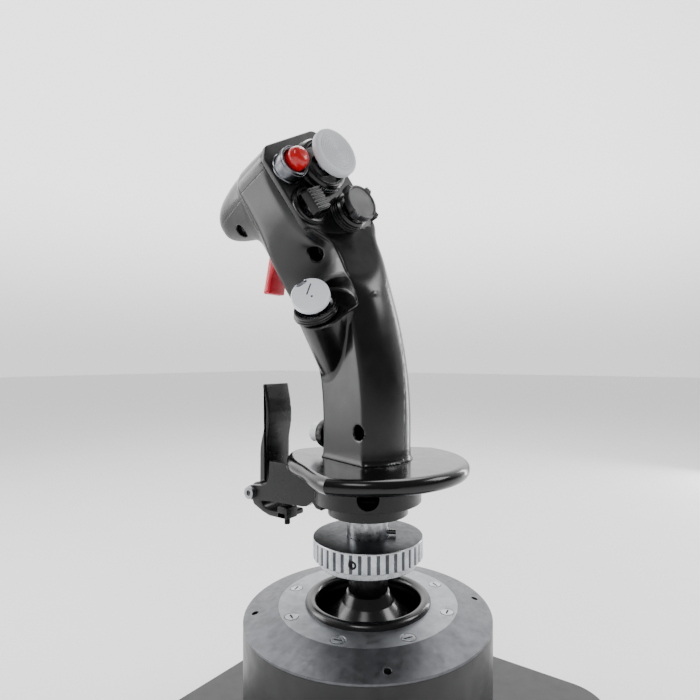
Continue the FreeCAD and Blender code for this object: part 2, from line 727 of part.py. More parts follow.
def grip_parts():
    outer = grip_outer()
    shell = outer.cut(grip_inner())
    for start, inward in shell_screw_sites():
        boss = rod(SCREW_WELL_R + 1.4, start, start.add(V(inward).multiply(SCREW_WELL_D + 5)))
        shell = shell.fuse(boss.common(outer))
    for start, inward in shell_screw_sites():
        outside = start.sub(V(inward).multiply(8))
        shell = shell.cut(rod(SCREW_WELL_R, outside, start.add(V(inward).multiply(SCREW_WELL_D))))
        shell = shell.cut(rod(SHELL_SCREW_R, start, start.add(V(inward).multiply(SCREW_WELL_D + 6))))
    shell = shell.cut(trigger_slot())
    shell = shell.cut(placed(disc(POD_WELL_R, -44, 0), POD))
    shell = shell.cut(rod(PINKY_HOLE_R, V(0, 12, PINKY_Z), V(0, 40, PINKY_Z)))
    cover_zone = placed(Part.makeBox(120, 60, 110, V(-80, COVER_U, -100)), HEAD)
    cover = shell.common(cover_zone)
    body = shell.cut(cover_zone)
    half = left_of_seam()
    return {"head_cover": cover, "grip_left_shell": body.common(half), "grip_right_shell": body.cut(half)}


def shell_screws():
    screws = []
    for start, inward in shell_screw_sites():
        seat = start.add(V(inward).multiply(SCREW_WELL_D))
        head_at = start.add(V(inward).multiply(SCREW_WELL_D - 2.2))
        screw = rod(2.8, head_at, seat)
        shank = rod(SHELL_SCREW_R, head_at, seat.add(V(inward).multiply(4.5)))
        socket = rod(1.2, head_at, head_at.add(V(inward).multiply(1.4)))
        screws.append(screw.fuse(shank).cut(socket))
    return Part.makeCompound(screws)


def grip_board():
    board = box(-6, 8, -0.8, 0.8, GRIP_Z + 12, GRIP_Z + 62)
    chip = box(-2, 4, 0.8, 2.2, GRIP_Z + 30, GRIP_Z + 36)
    return board.fuse(chip)


# ---- thumb controls -----------------------------------------------------------------------------
def hat_base(r, u, radius, height, ball_h, hole_r):
    """Ring standing on the panel, open in the middle, with a floor under the pivot ball."""
    ring = tube(radius, hole_r, 0, height)
    sleeve = tube(hole_r, hole_r - 1.0, -PANEL_T, 0.6)
    floor = tube(hole_r, 0.8, -PANEL_T, ball_h - HAT_BALL_R + 0.2)
    seated = fuse_all([ring, sleeve, floor]).cut(Part.makeSphere(HAT_BALL_R + HAT_GAP, V(0, 0, ball_h)))
    return placed(seated.translated(V(r, u, 0)), HEAD)


def hat_ball(r, u, ball_h, placement=HEAD):
    return placed(Part.makeSphere(HAT_BALL_R, V(r, u, ball_h)), placement)


def hat_cap(r, u, ball_h, crown, placement=HEAD):
    """Crown shape with a stem that sits over the pivot ball."""
    stem = disc(3.4, ball_h + 0.6, ball_h + 5.5).cut(Part.makeSphere(HAT_BALL_R + HAT_GAP, V(0, 0, ball_h)))
    return placed(crown.fuse(stem).translated(V(r, u, 0)), placement)


TRIM_AT = (-14.0, 36.0)
TRIM_COLLAR_R = 13.6
TRIM_COLLAR_H = 6.0
TRIM_BALL_H = 4.0
TRIM_CAP_R = 12.4
TRIM_CAP_Z = 11.6
TRIM_CAP_T = 4.9


def trim_cap():
    crown = turned([V(0, 0, TRIM_CAP_Z - 2.6), V(6.0, 0, TRIM_CAP_Z - 2.6), V(9.5, 0, TRIM_CAP_Z - 0.6),
                    V(TRIM_CAP_R - 0.3, 0, TRIM_CAP_Z), V(TRIM_CAP_R, 0, TRIM_CAP_Z + 0.8),
                    V(TRIM_CAP_R, 0, TRIM_CAP_Z + TRIM_CAP_T - 1.6), V(TRIM_CAP_R - 1.2, 0, TRIM_CAP_Z + TRIM_CAP_T),
                    V(7.0, 0, TRIM_CAP_Z + TRIM_CAP_T - 0.5), V(0, 0, TRIM_CAP_Z + TRIM_CAP_T - 1.4)])
    grooves = [tube(r + 0.3, r - 0.3, TRIM_CAP_Z + TRIM_CAP_T - 2.0, 30) for r in (2.2, 3.8, 5.4, 7.0, 8.6, 10.2)]
    return hat_cap(*TRIM_AT, TRIM_BALL_H, cut_all(crown, grooves))


CASTLE_AT = (-33.0, 20.0)
CASTLE_BASE_R = 9.6
CASTLE_BASE_H = 2.0
CASTLE_BALL_H = 1.2


def castle_cap():
    body = box(-4.6, 4.6, -5.6, 5.6, 4.6, 9.2)
    foot = disc(6.3, 3.8, 4.6)
    cut = cut_all(body, [box(-3.4, 3.4, y + 0.45, y + 1.15, 8.2, 10) for y in (-4.8, -3.2, -1.6, 0, 1.6, 3.2)])
    return hat_cap(*CASTLE_AT, CASTLE_BALL_H, fuse_all([cut, foot]))


NOTCHED_AT = (-13.0, 10.0)
NOTCHED_COLUMN_R = 9.0
NOTCHED_COLUMN_H = 6.2
NOTCHED_BALL_H = 4.6


def notched_cap():
    crown = disc(8.6, 9.6, 13.0).cut(disc(7.6, 12.4, 14))
    lugs = around(box(7.2, 10.2, -2.0, 2.0, 9.6, 13.0), 4, 25)
    stem_flare = Part.makeCone(4.0, 6.5, 2.0, V(0, 0, 7.6))
    return hat_cap(*NOTCHED_AT, NOTCHED_BALL_H, fuse_all([crown, stem_flare] + lugs))


FIRE_AT = (-35.0, 40.0)


def fire_guard():
    guard = tube(7.4, 5.8, 0, 8.0).fuse(tube(5.8, 2.4, 0, 2.0))
    return placed(guard.translated(V(*FIRE_AT, 0)), HEAD)


def fire_button():
    crown = turned([V(0, 0, 4.6), V(5.4, 0, 4.6), V(5.4, 0, 11.6), V(5.0, 0, 13.0), V(3.6, 0, 13.9), V(0, 0, 14.3)])
    stem = disc(2.2, -0.5, 4.6)
    return placed(crown.fuse(stem).translated(V(*FIRE_AT, 0)), HEAD)


def switch_panel():
    panel = placed(slab(PANEL_OUTLINE, -PANEL_T, 0), HEAD)
    wells = [disc(hole_r, -PANEL_T - 1, 1).translated(V(*at, 0)) for at, hole_r in
             ((TRIM_AT, 5.0), (CASTLE_AT, 5.0), (NOTCHED_AT, 5.0), (FIRE_AT, 2.4))]
    return cut_all(panel, [placed(well, HEAD) for well in wells])


# side hat, in the pod's own frame: 0 is the outer face of its cap
SIDE_BALL_D = -11.0


def side_hat_bezel():
    rings = [tube(11.0, 6.6, -9.0, -7.2), tube(12.3, 6.6, POD_TOP, -9.0)]
    cup = tube(POD_WELL_R, 6.6, -17.0, POD_TOP)
    floor = tube(POD_WELL_R, 0.8, -18.4, -17.0)
    post = tube(4.4, 0.8, -17.0, SIDE_BALL_D - 2.0)
    seated = fuse_all(rings + [cup, floor, post])
    return placed(seated.cut(Part.makeSphere(HAT_BALL_R + HAT_GAP, V(0, 0, SIDE_BALL_D))), POD)


def side_hat_cap():
    crown = turned([V(0, 0, -4.8), V(8.6, 0, -4.8), V(9.6, 0, -4.0), V(9.8, 0, -1.8), V(8.6, 0, -0.4), V(0, 0, 0)])
    notch = box(7.2, 12, -2.0, 2.0, -3.0, 1)
    stem = disc(3.4, SIDE_BALL_D + 0.6, -4.4).cut(Part.makeSphere(HAT_BALL_R + HAT_GAP, V(0, 0, SIDE_BALL_D)))
    return placed(crown.cut(notch).fuse(stem), POD)


def pinky_bezel():
    flange = annulus(7.0, 4.8, V(0, 21.8, PINKY_Z), Y, 4.8)
    barrel = annulus(5.5, 4.8, V(0, 14.5, PINKY_Z), Y, 8.0)
    return flange.fuse(barrel)


def pinky_button():
    stem = rod(2.0, V(0, 15, PINKY_Z), V(0, 20, PINKY_Z))
    return stem.fuse(rod(4.5, V(0, 20, PINKY_Z), V(0, 32.4, PINKY_Z)))


# ---- trigger ------------------------------------------------------------------------------------
def trigger():
    y = TRIGGER_PIVOT_Y
    z = TRIGGER_PIVOT_Z
    blade = side_slab([(y - 3, z), (y - 1.5, z - 8), (y + 3.2, z - 16), (y + 6.4, z - 22), (y + 7.4, z - 27),
                       (y + 7.8, z - 30), (y + 12.6, z - 30), (y + 11.0, z - 24), (y + 9.4, z - 17),
                       (y + 7.6, z - 9), (y + 4.6, z - 2), (y + 2, z + 2), (y - 2, z + 2)],
                      TRIGGER_X - TRIGGER_HALF_W, TRIGGER_X + TRIGGER_HALF_W)
    hub = rod(4.2, V(TRIGGER_X - TRIGGER_HALF_W, y, z), V(TRIGGER_X + TRIGGER_HALF_W, y, z))
    bore = rod(1.5 + RUNNING_GAP, V(-40, y, z), V(40, y, z))
    return fuse_all([blade, hub]).cut(bore)


def trigger_pin():
    reach = TRIGGER_HALF_W + 2.1
    return rod(1.5, V(TRIGGER_X - reach, TRIGGER_PIVOT_Y, TRIGGER_PIVOT_Z),
               V(TRIGGER_X + reach, TRIGGER_PIVOT_Y, TRIGGER_PIVOT_Z))


def trigger_frame():
    """U-shaped bracket with the hinge pin's eyes and the trigger's switch on its back web."""
    near = TRIGGER_HALF_W + 0.5
    far = near + 1.6
    y = TRIGGER_PIVOT_Y
    z = TRIGGER_PIVOT_Z
    cheeks = [box(TRIGGER_X + min(a, b), TRIGGER_X + max(a, b), y - 10, y + 3, z - 4, z + 4)
              for a, b in ((near, far), (-far, -near))]
    web = box(TRIGGER_X - far, TRIGGER_X + far, y - 11.5, y - 10, z - 8, z + 4)
    switch = box(TRIGGER_X - 5, TRIGGER_X + 5, y - 10, y - 5.6, z - 8, z - 3)
    return fuse_all(cheeks + [web, switch]).cut(trigger_pin())


# ---- build --------------------------------------------------------------------------------------
def build():
    grip = grip_parts()
    parts = {
        "base_plate": base_plate(),
        "base_feet": base_feet(),
        "base_housing": base_housing(),
        "housing_screws": Part.makeCompound(housing_screws()),
        "shoulder_ring": shoulder_ring(),
        "ring_frame": ring_frame(),
        "top_ring": top_ring(),
        "top_ring_screws": top_ring_screws(),
        "boot_rim": boot_rim(),
        "gimbal_bracket": gimbal_bracket(),
        "roll_bearings": roll_bearings(),
        "roll_sensor": roll_sensor(),
        "roll_spring": roll_spring(),
        "main_board": main_board(),
        "cable_gland": cable_gland(),
        "gimbal_ring": gimbal_ring(),
        "roll_pins": roll_pins(),
        "pitch_bearings": pitch_bearings(),
        "pitch_sensor": pitch_sensor(),
        "pitch_spring": pitch_spring(),
        "gimbal_hub": gimbal_hub(),
        "pitch_pins": pitch_pins(),
        "dust_dome": dust_dome(),
        "shaft_sleeve": shaft_sleeve(),
        "steel_shaft": steel_shaft(),
        "key_pin": key_pin(),
        "locking_ring": locking_ring(),
        "ring_set_screw": set_screw(),
        "neck_flange": neck_flange(),
        "drum_bracket": drum_bracket(),
        "hand_rest": hand_rest(),
        "paddle_lever": paddle_lever(),
        "paddle_pin": paddle_pin(),
        "paddle_stop_screw": stop_screw(),
        "paddle_spring": paddle_spring(),
        "grip_left_shell": grip["grip_left_shell"],
        "grip_right_shell": grip["grip_right_shell"],
        "head_cover": grip["head_cover"],
        "shell_screws": shell_screws(),
        "grip_board": grip_board(),
        "switch_panel": switch_panel(),
        "trim_collar": hat_base(*TRIM_AT, TRIM_COLLAR_R, TRIM_COLLAR_H, TRIM_BALL_H, 5.0),
        "trim_ball": hat_ball(*TRIM_AT, TRIM_BALL_H),
        "trim_cap": trim_cap(),
        "castle_base": hat_base(*CASTLE_AT, CASTLE_BASE_R, CASTLE_BASE_H, CASTLE_BALL_H, 5.0),
        "castle_ball": hat_ball(*CASTLE_AT, CASTLE_BALL_H),
        "castle_cap": castle_cap(),
        "notched_column": hat_base(*NOTCHED_AT, NOTCHED_COLUMN_R, NOTCHED_COLUMN_H, NOTCHED_BALL_H, 5.0),
        "notched_ball": hat_ball(*NOTCHED_AT, NOTCHED_BALL_H),
        "notched_cap": notched_cap(),
        "fire_guard": fire_guard(),
        "fire_button": fire_button(),
        "side_hat_bezel": side_hat_bezel(),
        "side_hat_ball": placed(Part.makeSphere(HAT_BALL_R, V(0, 0, SIDE_BALL_D)), POD),
        "side_hat_cap": side_hat_cap(),
        "pinky_bezel": pinky_bezel(),
        "pinky_button": pinky_button(),
        "trigger": trigger(),
        "trigger_pin": trigger_pin(),
        "trigger_frame": trigger_frame(),
    }
    os.makedirs("parts", exist_ok=True)
    for node, shape in parts.items():
        shape.exportStep("parts/" + node + ".step")
        print(node, round(shape.Volume), len(shape.Solids), shape.isValid())


build()
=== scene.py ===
"""Flight joystick: the looks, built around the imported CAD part. Sizes are in millimetres unless a name says
otherwise, and each piece is written in the row frame."""

import json
import math

import bmesh
import bpy
import numpy as np
from mathutils import Matrix, Vector


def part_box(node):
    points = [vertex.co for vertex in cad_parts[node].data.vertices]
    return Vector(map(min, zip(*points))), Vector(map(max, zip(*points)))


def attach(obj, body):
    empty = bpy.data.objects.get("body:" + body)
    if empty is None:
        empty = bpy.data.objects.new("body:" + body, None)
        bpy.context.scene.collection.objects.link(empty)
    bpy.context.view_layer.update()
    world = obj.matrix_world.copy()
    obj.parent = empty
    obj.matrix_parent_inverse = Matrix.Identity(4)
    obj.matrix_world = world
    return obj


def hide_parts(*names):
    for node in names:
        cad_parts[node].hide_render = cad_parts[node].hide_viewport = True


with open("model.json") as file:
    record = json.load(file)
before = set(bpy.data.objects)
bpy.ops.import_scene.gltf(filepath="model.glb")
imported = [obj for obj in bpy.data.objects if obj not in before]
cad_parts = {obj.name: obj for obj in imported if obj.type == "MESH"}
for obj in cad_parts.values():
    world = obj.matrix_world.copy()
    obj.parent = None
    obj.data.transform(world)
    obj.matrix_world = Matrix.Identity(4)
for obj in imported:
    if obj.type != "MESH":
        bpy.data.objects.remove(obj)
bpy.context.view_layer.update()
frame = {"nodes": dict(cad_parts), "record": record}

MM = 0.001


def low(node):
    return np.array(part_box(node)[0]) / MM


def high(node):
    return np.array(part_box(node)[1]) / MM


def unit(v):
    return np.array(v, float) / np.linalg.norm(v)


# ---- driving sizes ----------------------------------------------------------------------------------
REST_TOP = high("hand_rest")[2]
DECK_Z = REST_TOP - 73.6            # the grip is written with its heights counted from the deck
GRIP_Z = 73.6
GRIP_STEP = 0.5
SEAM_TILT = math.radians(4.4)
SEAM_SINK = 0.12

BEND_START = 90.0
BEND_LENGTH = 58.0
BEND_RATE = 0.0027
LEAN_LEFT = 0.40
LEAN_AHEAD = 0.72

HEAD_ORIGIN = np.array((8.0, 3.0, 188.0))
HEAD_YAW = math.radians(12.4)
HEAD_PITCH = math.radians(16.4)
HEAD_CANT = math.radians(28.0)
HEAD_LEFT = -41.0
BLOCK_DEPTH = 30.0
COVER_U = 44.5
PANEL_T = 3.0
PANEL_OUTLINE = [(-41, 48), (-36, 53), (-2, 55), (4, 50), (5, 6), (1, 1), (-20, 2.5), (-30, 6), (-41, 14)]
PANEL_CORNERS = [4.0, 3.0, 5.0, 4.0, 3.0, 3.0, 14.0, 14.0, 4.0]

POD_FACE = np.array((-35.0, 7.0, 151.0))
POD_RISE = math.radians(47.0)
POD_BACK = math.radians(15.4)
POD_R = 12.0
POD_END = -10.6
POD_OFFSET = np.array((1.4, -2.0, 0.0))
LEDGE_R = 17.0

TRIM_AT = (-14.0, 36.0)
CASTLE_AT = (-31.8, 21.4)
NOTCHED_AT = (-13.0, 11.2)
FIRE_AT = (-33.0, 40.0)


# ---- local frames: 4x4 matrices that take a piece's own millimetres to the row frame -----------------
def local_frame(origin, x_axis, z_axis):
    z = unit(z_axis)
    x = unit(np.array(x_axis) - z * np.dot(x_axis, z))
    place = np.eye(4)
    place[:3, 0], place[:3, 1], place[:3, 2], place[:3, 3] = x, np.cross(z, x), z, origin
    return place


HEAD_BACK = np.array((-math.sin(HEAD_YAW) * math.cos(HEAD_PITCH),
                      -math.cos(HEAD_YAW) * math.cos(HEAD_PITCH), math.sin(HEAD_PITCH)))
HEAD_LEVEL = np.array((math.cos(HEAD_YAW), -math.sin(HEAD_YAW), 0))
HEAD_RIGHT = HEAD_LEVEL * math.cos(HEAD_CANT) + np.cross(HEAD_BACK, HEAD_LEVEL) * math.sin(HEAD_CANT)
HEAD_AXES = np.stack([HEAD_RIGHT, np.cross(HEAD_BACK, HEAD_RIGHT), HEAD_BACK], 1)
DECK_SHIFT = np.array((0, 0, DECK_Z))
HEAD = local_frame(HEAD_ORIGIN + DECK_SHIFT, HEAD_RIGHT, HEAD_BACK)
POD_AXIS = np.array((-math.cos(POD_RISE) * math.cos(POD_BACK), -math.cos(POD_RISE) * math.sin(POD_BACK),
                     math.sin(POD_RISE)))
POD = local_frame(POD_FACE + DECK_SHIFT, (0, 1, 0), POD_AXIS)


def on_head(at):
    place = HEAD.copy()
    place[:3, 3] = (HEAD @ np.array((at[0], at[1], 0, 1)))[:3]
    return place


def to_head(points):
    """(right, up, back) of deck-frame points, from the panel's lower right corner."""
    return (points - HEAD_ORIGIN) @ HEAD_AXES


def from_head(point):
    return HEAD_AXES @ np.array(point) + HEAD_ORIGIN


# ---- mesh helpers -----------------------------------------------------------------------------------
def fillet(before, corner, after, radius, steps=5):
    """The corner's points once it is rounded by an arc of that radius."""
    corner = np.array(corner, float)
    a, b = np.array(before, float) - corner, np.array(after, float) - corner
    length_a, length_b = np.linalg.norm(a), np.linalg.norm(b)
    a, b = a / length_a, b / length_b
    half = math.acos(np.clip(a @ b, -1, 1)) / 2
    if radius <= 0 or half > 1.54:
        return [tuple(corner)]
    reach = min(radius / math.tan(half), 0.48 * length_a, 0.48 * length_b)
    centre = corner + unit(a + b) * reach / math.cos(half)
    arm_a, arm_b = corner + a * reach - centre, corner + b * reach - centre
    turn = math.pi - 2 * half
    turn = math.copysign(turn, arm_a[0] * arm_b[1] - arm_a[1] * arm_b[0])
    points = []
    for k in range(steps + 1):
        c, s = math.cos(turn * k / steps), math.sin(turn * k / steps)
        points.append((centre[0] + c * arm_a[0] - s * arm_a[1], centre[1] + s * arm_a[0] + c * arm_a[1]))
    return points


def rounded(corners, radii, closed=True, steps=5):
    """Outline through the corners, each rounded by its own radius."""
    if not hasattr(radii, "__len__"):
        radii = [radii] * len(corners)
    points = []
    count = len(corners)
    for k, corner in enumerate(corners):
        if closed or 0 < k < count - 1:
            points += fillet(corners[k - 1], corner, corners[(k + 1) % count], radii[k], steps)
        else:
            points.append(tuple(corner))
    return points


def lathe(profile, segments=128, radius_at=None):
    """(vertices, faces) of a profile [(radius, height)] turned round the z axis. A profile that starts and
    ends on the axis makes a solid, any other is closed into a ring. radius_at(radius, height, angle)
    may shape it."""
    verts, rows = [], []
    for radius, height in profile:
        if radius < 1e-6:
            rows.append([len(verts)] * segments)
            verts.append((0, 0, height))
            continue
        rows.append(list(range(len(verts), len(verts) + segments)))
        for k in range(segments):
            angle = 2 * math.pi * k / segments
            r = radius if radius_at is None else radius_at(radius, height, angle)
            verts.append((r * math.cos(angle), r * math.sin(angle), height))
    if profile[0][0] > 1e-6 or profile[-1][0] > 1e-6:
        rows.append(rows[0])
    faces = []
    for lower, upper in zip(rows[:-1], rows[1:]):
        for k in range(segments):
            face = [lower[k], lower[(k + 1) % segments], upper[(k + 1) % segments], upper[k]]
            face = list(dict.fromkeys(face))
            if len(face) > 2:
                faces.append(face)
    return verts, faces


def prism(outline, z0, z1, edge=0.4, foot_edge=0.0, steps=4):
    """(vertices, faces) of an outline [(x, y)] between two heights, with rounded edges."""
    outline = np.array(outline, float)
    area = np.sum(outline[:, 0] * np.roll(outline[:, 1], -1) - np.roll(outline[:, 0], -1) * outline[:, 1])
    if area < 0:
        outline = outline[::-1]
    ahead = np.roll(outline, -1, 0) - outline
    ahead /= np.linalg.norm(ahead, axis=1)[:, None]
    behind = np.roll(ahead, 1, 0)
    normal = np.stack([ahead[:, 1] + behind[:, 1], -ahead[:, 0] - behind[:, 0]], 1)
    normal /= np.maximum((normal * normal).sum(1) / 2, 0.8)[:, None]
    levels = []
    for radius, height, sign in ((foot_edge, z0, 1), (edge, z1, -1)):
        rings = [(radius * (1 - math.cos(a)), height + sign * radius * (1 - math.sin(a)))
                 for a in np.linspace(0, math.pi / 2, steps + 1)] if radius > 0 else [(0, height)]
        levels += rings[::-1] if sign > 0 else rings
    verts = [(x, y, z) for inset, z in levels for x, y in outline - inset * normal]
    n = len(outline)
    faces = [list(range(n))[::-1], list(range(len(verts) - n, len(verts)))]
    for row in range(len(levels) - 1):
        for k in range(n):
            a, b = row * n + k, row * n + (k + 1) % n
            faces.append([a, b, b + n, a + n])
    return verts, faces


def shifted(shape, place):
    verts, faces = shape
    verts = np.array(verts, float)
    return verts @ place[:3, :3].T + place[:3, 3], faces


def joined(*shapes):
    verts, faces = [], []
    for v, f in shapes:
        faces += [[i + len(verts) for i in face] for face in f]
        verts += [tuple(p) for p in v]
    return verts, faces


def move(x=0.0, y=0.0, z=0.0, turn=0.0):
    """4x4 matrix: a turn round z, in degrees, then a shift."""
    return np.array(Matrix.Translation((x, y, z)) @ Matrix.Rotation(math.radians(turn), 4, "Z"))


def piece(name, shape, place, body, replaces, material, sharp=35.0):
    """Adds a mesh to the scene, riding on a body and standing for CAD nodes."""
    verts, faces = shape
    verts = (np.array(verts, float) @ place[:3, :3].T + place[:3, 3]) * MM
    mesh = bpy.data.meshes.new(name)
    mesh.from_pydata(verts.tolist(), [], [list(map(int, f)) for f in faces])
    cleaned = bmesh.new()
    cleaned.from_mesh(mesh)
    bmesh.ops.recalc_face_normals(cleaned, faces=cleaned.faces)
    cleaned.to_mesh(mesh)
    cleaned.free()
    mesh.shade_smooth()
    mesh.set_sharp_from_angle(angle=math.radians(sharp))
    mesh.materials.append(material)
    obj = bpy.data.objects.new(name, mesh)
    bpy.context.scene.collection.objects.link(obj)
    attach(obj, body)
    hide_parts(*replaces)
    return obj


# ---- materials --------------------------------------------------------------------------------------
def linear(value):
    return value / 12.92 if value <= 0.04045 else ((value + 0.055) / 1.055) ** 2.4


def colour(hex_code):
    parts = [int(hex_code[k:k + 2], 16) / 255 for k in (0, 2, 4)]
    return (*[linear(v) for v in parts], 1.0)


RANGE_SOCKETS = ("From Min", "From Max", "To Min", "To Max")


class Finish:
    """A procedural material: a principled shader with helpers for its grain, tone, gloss and bump."""

    def __init__(self, name, metallic=0.0, specular=0.5, coat=0.0):
        self.material = bpy.data.materials.new(name)
        self.material.use_nodes = True
        self.tree = self.material.node_tree
        self.shader = self.tree.nodes["Principled BSDF"]
        self.shader.inputs["Metallic"].default_value = metallic
        self.shader.inputs["Specular IOR Level"].default_value = specular
        self.shader.inputs["Coat Weight"].default_value = coat
        self.shader.inputs["Coat Roughness"].default_value = 0.1
        self.place = self.add("ShaderNodeTexCoord").outputs["Object"]
        self.normal = None

    def add(self, kind, **values):
        node = self.tree.nodes.new(kind)
        for key, value in values.items():
            setattr(node, key, value)
        return node

    def link(self, source, target):
        self.tree.links.new(source, target)

    def noise(self, size_mm, detail=4.0, stretch=(1, 1, 1)):
        """Noise whose blobs are about size_mm across, stretched along an axis if asked."""
        mapping = self.add("ShaderNodeMapping")
        mapping.inputs["Scale"].default_value = stretch
        node = self.add("ShaderNodeTexNoise")
        node.inputs["Scale"].default_value = 1000.0 / size_mm
        node.inputs["Detail"].default_value = detail
        self.link(self.place, mapping.inputs["Vector"])
        self.link(mapping.outputs["Vector"], node.inputs["Vector"])
        return node.outputs["Fac"]

    def rings(self, pitch_mm):
        """Turning marks: rings round the row frame's upright axis."""
        node = self.add("ShaderNodeTexWave", wave_type="RINGS", rings_direction="Z")
        node.inputs["Scale"].default_value = 1000.0 / pitch_mm / 20
        node.inputs["Distortion"].default_value = 0.5
        node.inputs["Detail"].default_value = 3.0
        self.link(self.place, node.inputs["Vector"])
        return node.outputs["Fac"]

    def ramp(self, source, start, end, low_value, high_value):
        node = self.add("ShaderNodeMapRange")
        for key, value in zip(RANGE_SOCKETS, (start, end, low_value, high_value)):
            node.inputs[key].default_value = value
        self.link(source, node.inputs["Value"])
        return node.outputs["Result"]

    def blend(self, factor, a, b):
        node = self.add("ShaderNodeMix", data_type="RGBA")
        self.link(factor, node.inputs[0])
        for socket, value in ((node.inputs[6], a), (node.inputs[7], b)):
            if isinstance(value, tuple):
                socket.default_value = value
            else:
                self.link(value, socket)
        return node.outputs[2]

    def paint(self, source):
        self.link(source, self.shader.inputs["Base Color"])
        return self

    def rough(self, source, low_value, high_value):
        self.link(self.ramp(source, 0.3, 0.7, low_value, high_value), self.shader.inputs["Roughness"])
        return self

    def soften(self, radius_mm):
        """Rounds the sharp edges of a CAD mesh in the shading."""
        node = self.add("ShaderNodeBevel", samples=4)
        node.inputs["Radius"].default_value = radius_mm * MM
        self.normal = node.outputs["Normal"]
        return self

    def bump(self, source, height_mm, strength=1.0):
        node = self.add("ShaderNodeBump")
        node.inputs["Distance"].default_value = height_mm * MM
        node.inputs["Strength"].default_value = strength
        self.link(source, node.inputs["Height"])
        if self.normal is not None:
            self.link(self.normal, node.inputs["Normal"])
        self.normal = node.outputs["Normal"]
        return self

    def done(self):
        if self.normal is not None:
            self.link(self.normal, self.shader.inputs["Normal"])
        return self.material


def plastic(name, dark, light, rough_low, rough_high, grain_mm=0.5, grain_h=0.004, edge_radius=0.0,
            specular=0.5, coat=0.0):
    """Moulded or painted surface: cloudy tone, fine grain and uneven gloss."""
    finish = Finish(name, specular=specular, coat=coat)
    finish.paint(finish.blend(finish.noise(12.0), colour(dark), colour(light)))
    finish.rough(finish.noise(7.0, 5), rough_low, rough_high)
    if edge_radius:
        finish.soften(edge_radius)
    finish.bump(finish.noise(grain_mm, 3), grain_h)
    return finish.bump(finish.noise(9.0, 2), 0.02).done()


def metal(name, dark, light, rough_low, rough_high, ring_mm=None, brushed=None, edge_radius=0.0,
          marks_mm=6.0):
    """Bare or anodised metal with turning or brushing marks and blotches."""
    grain_mm, grain_h = 1.2, 0.004
    finish = Finish(name, metallic=1.0)
    blotch = finish.ramp(finish.noise(marks_mm, 6.0), 0.35, 0.65, 0.0, 1.0)
    finish.paint(finish.blend(blotch, colour(dark), colour(light)))
    finish.rough(finish.noise(grain_mm * 2, 6), rough_low, rough_high)
    if edge_radius:
        finish.soften(edge_radius)
    if ring_mm:
        finish.bump(finish.rings(ring_mm), 0.004)
    if brushed:
        finish.bump(finish.noise(0.5, 3, brushed), 0.006)
    return finish.bump(finish.noise(grain_mm, 4), grain_h).done()


GRIP_BLACK = plastic("grip_black_plastic", "060607", "0a0a0b", 0.2, 0.27,
                     grain_mm=0.6, grain_h=0.003, specular=0.45)
PANEL_BLACK = plastic("panel_black_plastic", "0a0a0c", "101012", 0.3, 0.4,
                      grain_mm=0.35, grain_h=0.008, specular=0.4)
HAT_BLACK = plastic("hat_black_plastic", "060608", "0b0b0d", 0.2, 0.3,
                    grain_mm=0.4, grain_h=0.004, specular=0.42)
CAP_DARK = plastic("cap_dark_plastic", "1c1c1e", "252528", 0.34, 0.46, grain_mm=0.35, grain_h=0.008)
CAP_GREY = plastic("cap_light_grey_plastic", "b9bcc0", "c9ccd0", 0.38, 0.5, grain_mm=0.35, grain_h=0.006)
CAP_WHITE = plastic("cap_white_plastic", "d9dee6", "e6eaf0", 0.36, 0.48, grain_mm=0.4, grain_h=0.006)
# Dark marks for the engraved line and the small hole on the side hat: painted shade inside the engraving and
# the hole.
CAP_MARK_SHADE = plastic("cap_mark_painted_shade", "33373c", "454a50", 0.5, 0.6)
FIRE_RED = plastic("fire_red_plastic", "a80006", "b8000a", 0.2, 0.26, grain_mm=0.8, grain_h=0.001, coat=0.15)
TRIGGER_RED = plastic("trigger_red_plastic", "c00824", "cc0c2c", 0.34, 0.44, grain_mm=0.6, grain_h=0.005)
BUTTON_CLEAR = plastic("pinky_pale_plastic", "c9cccf", "dcdfe1", 0.2, 0.3)
REST_BLACK = plastic("rest_black_plastic", "050506", "080809", 0.14, 0.22,
                     grain_mm=0.8, grain_h=0.002, specular=0.4)
ANODISED = plastic("anodised_black_metal", "070708", "0c0c0d", 0.24, 0.34, grain_mm=0.45, grain_h=0.004,
                   edge_radius=0.5, specular=0.34)
RIM_BLACK = plastic("rim_black_rubber", "070708", "0e0e10", 0.16, 0.28, grain_mm=1.2, grain_h=0.004)
RUBBER = plastic("foot_black_rubber", "151516", "202022", 0.6, 0.75, grain_mm=0.5, grain_h=0.02)
HOUSING_BLACK = plastic("housing_black_metal", "0f0f11", "151518", 0.34, 0.46, grain_mm=0.4, grain_h=0.01,
                        edge_radius=0.6)
BOARD_GREEN = plastic("board_green_resist", "0f4a26", "16602f", 0.35, 0.5, edge_radius=0.2)
RING_ALUMINIUM = metal("ring_bright_aluminium", "9fa2a6", "bcbfc3", 0.22, 0.36, ring_mm=0.6)
# Darker aluminium for the faces down in the locking ring's flute grooves: painted shade in the grooves.
RING_GROOVE_SHADE = metal("ring_groove_painted_shade", "46484c", "5c5f63", 0.35, 0.5)
STEEL = metal("shaft_mottled_steel", "7d7f82", "c2c4c7", 0.22, 0.4, brushed=(1, 1, 0.08), marks_mm=3.5,
              edge_radius=0.3)
DECK_GREY = metal("deck_grey_metal", "8c8e92", "989a9e", 0.38, 0.52, ring_mm=0.5, edge_radius=0.4)
SHOULDER = metal("shoulder_grey_metal", "5c5d60", "6c6d71", 0.36, 0.5, ring_mm=0.6, edge_radius=0.5)
GUARD = metal("guard_brushed_metal", "5a5c60", "6e7074", 0.22, 0.32, marks_mm=2.5)
RING_TOP = metal("ring_slate_face", "24272b", "33373c", 0.3, 0.42, ring_mm=0.4)
SCREW_STEEL = metal("screw_steel", "8d8f92", "b5b7ba", 0.25, 0.4, edge_radius=0.15)
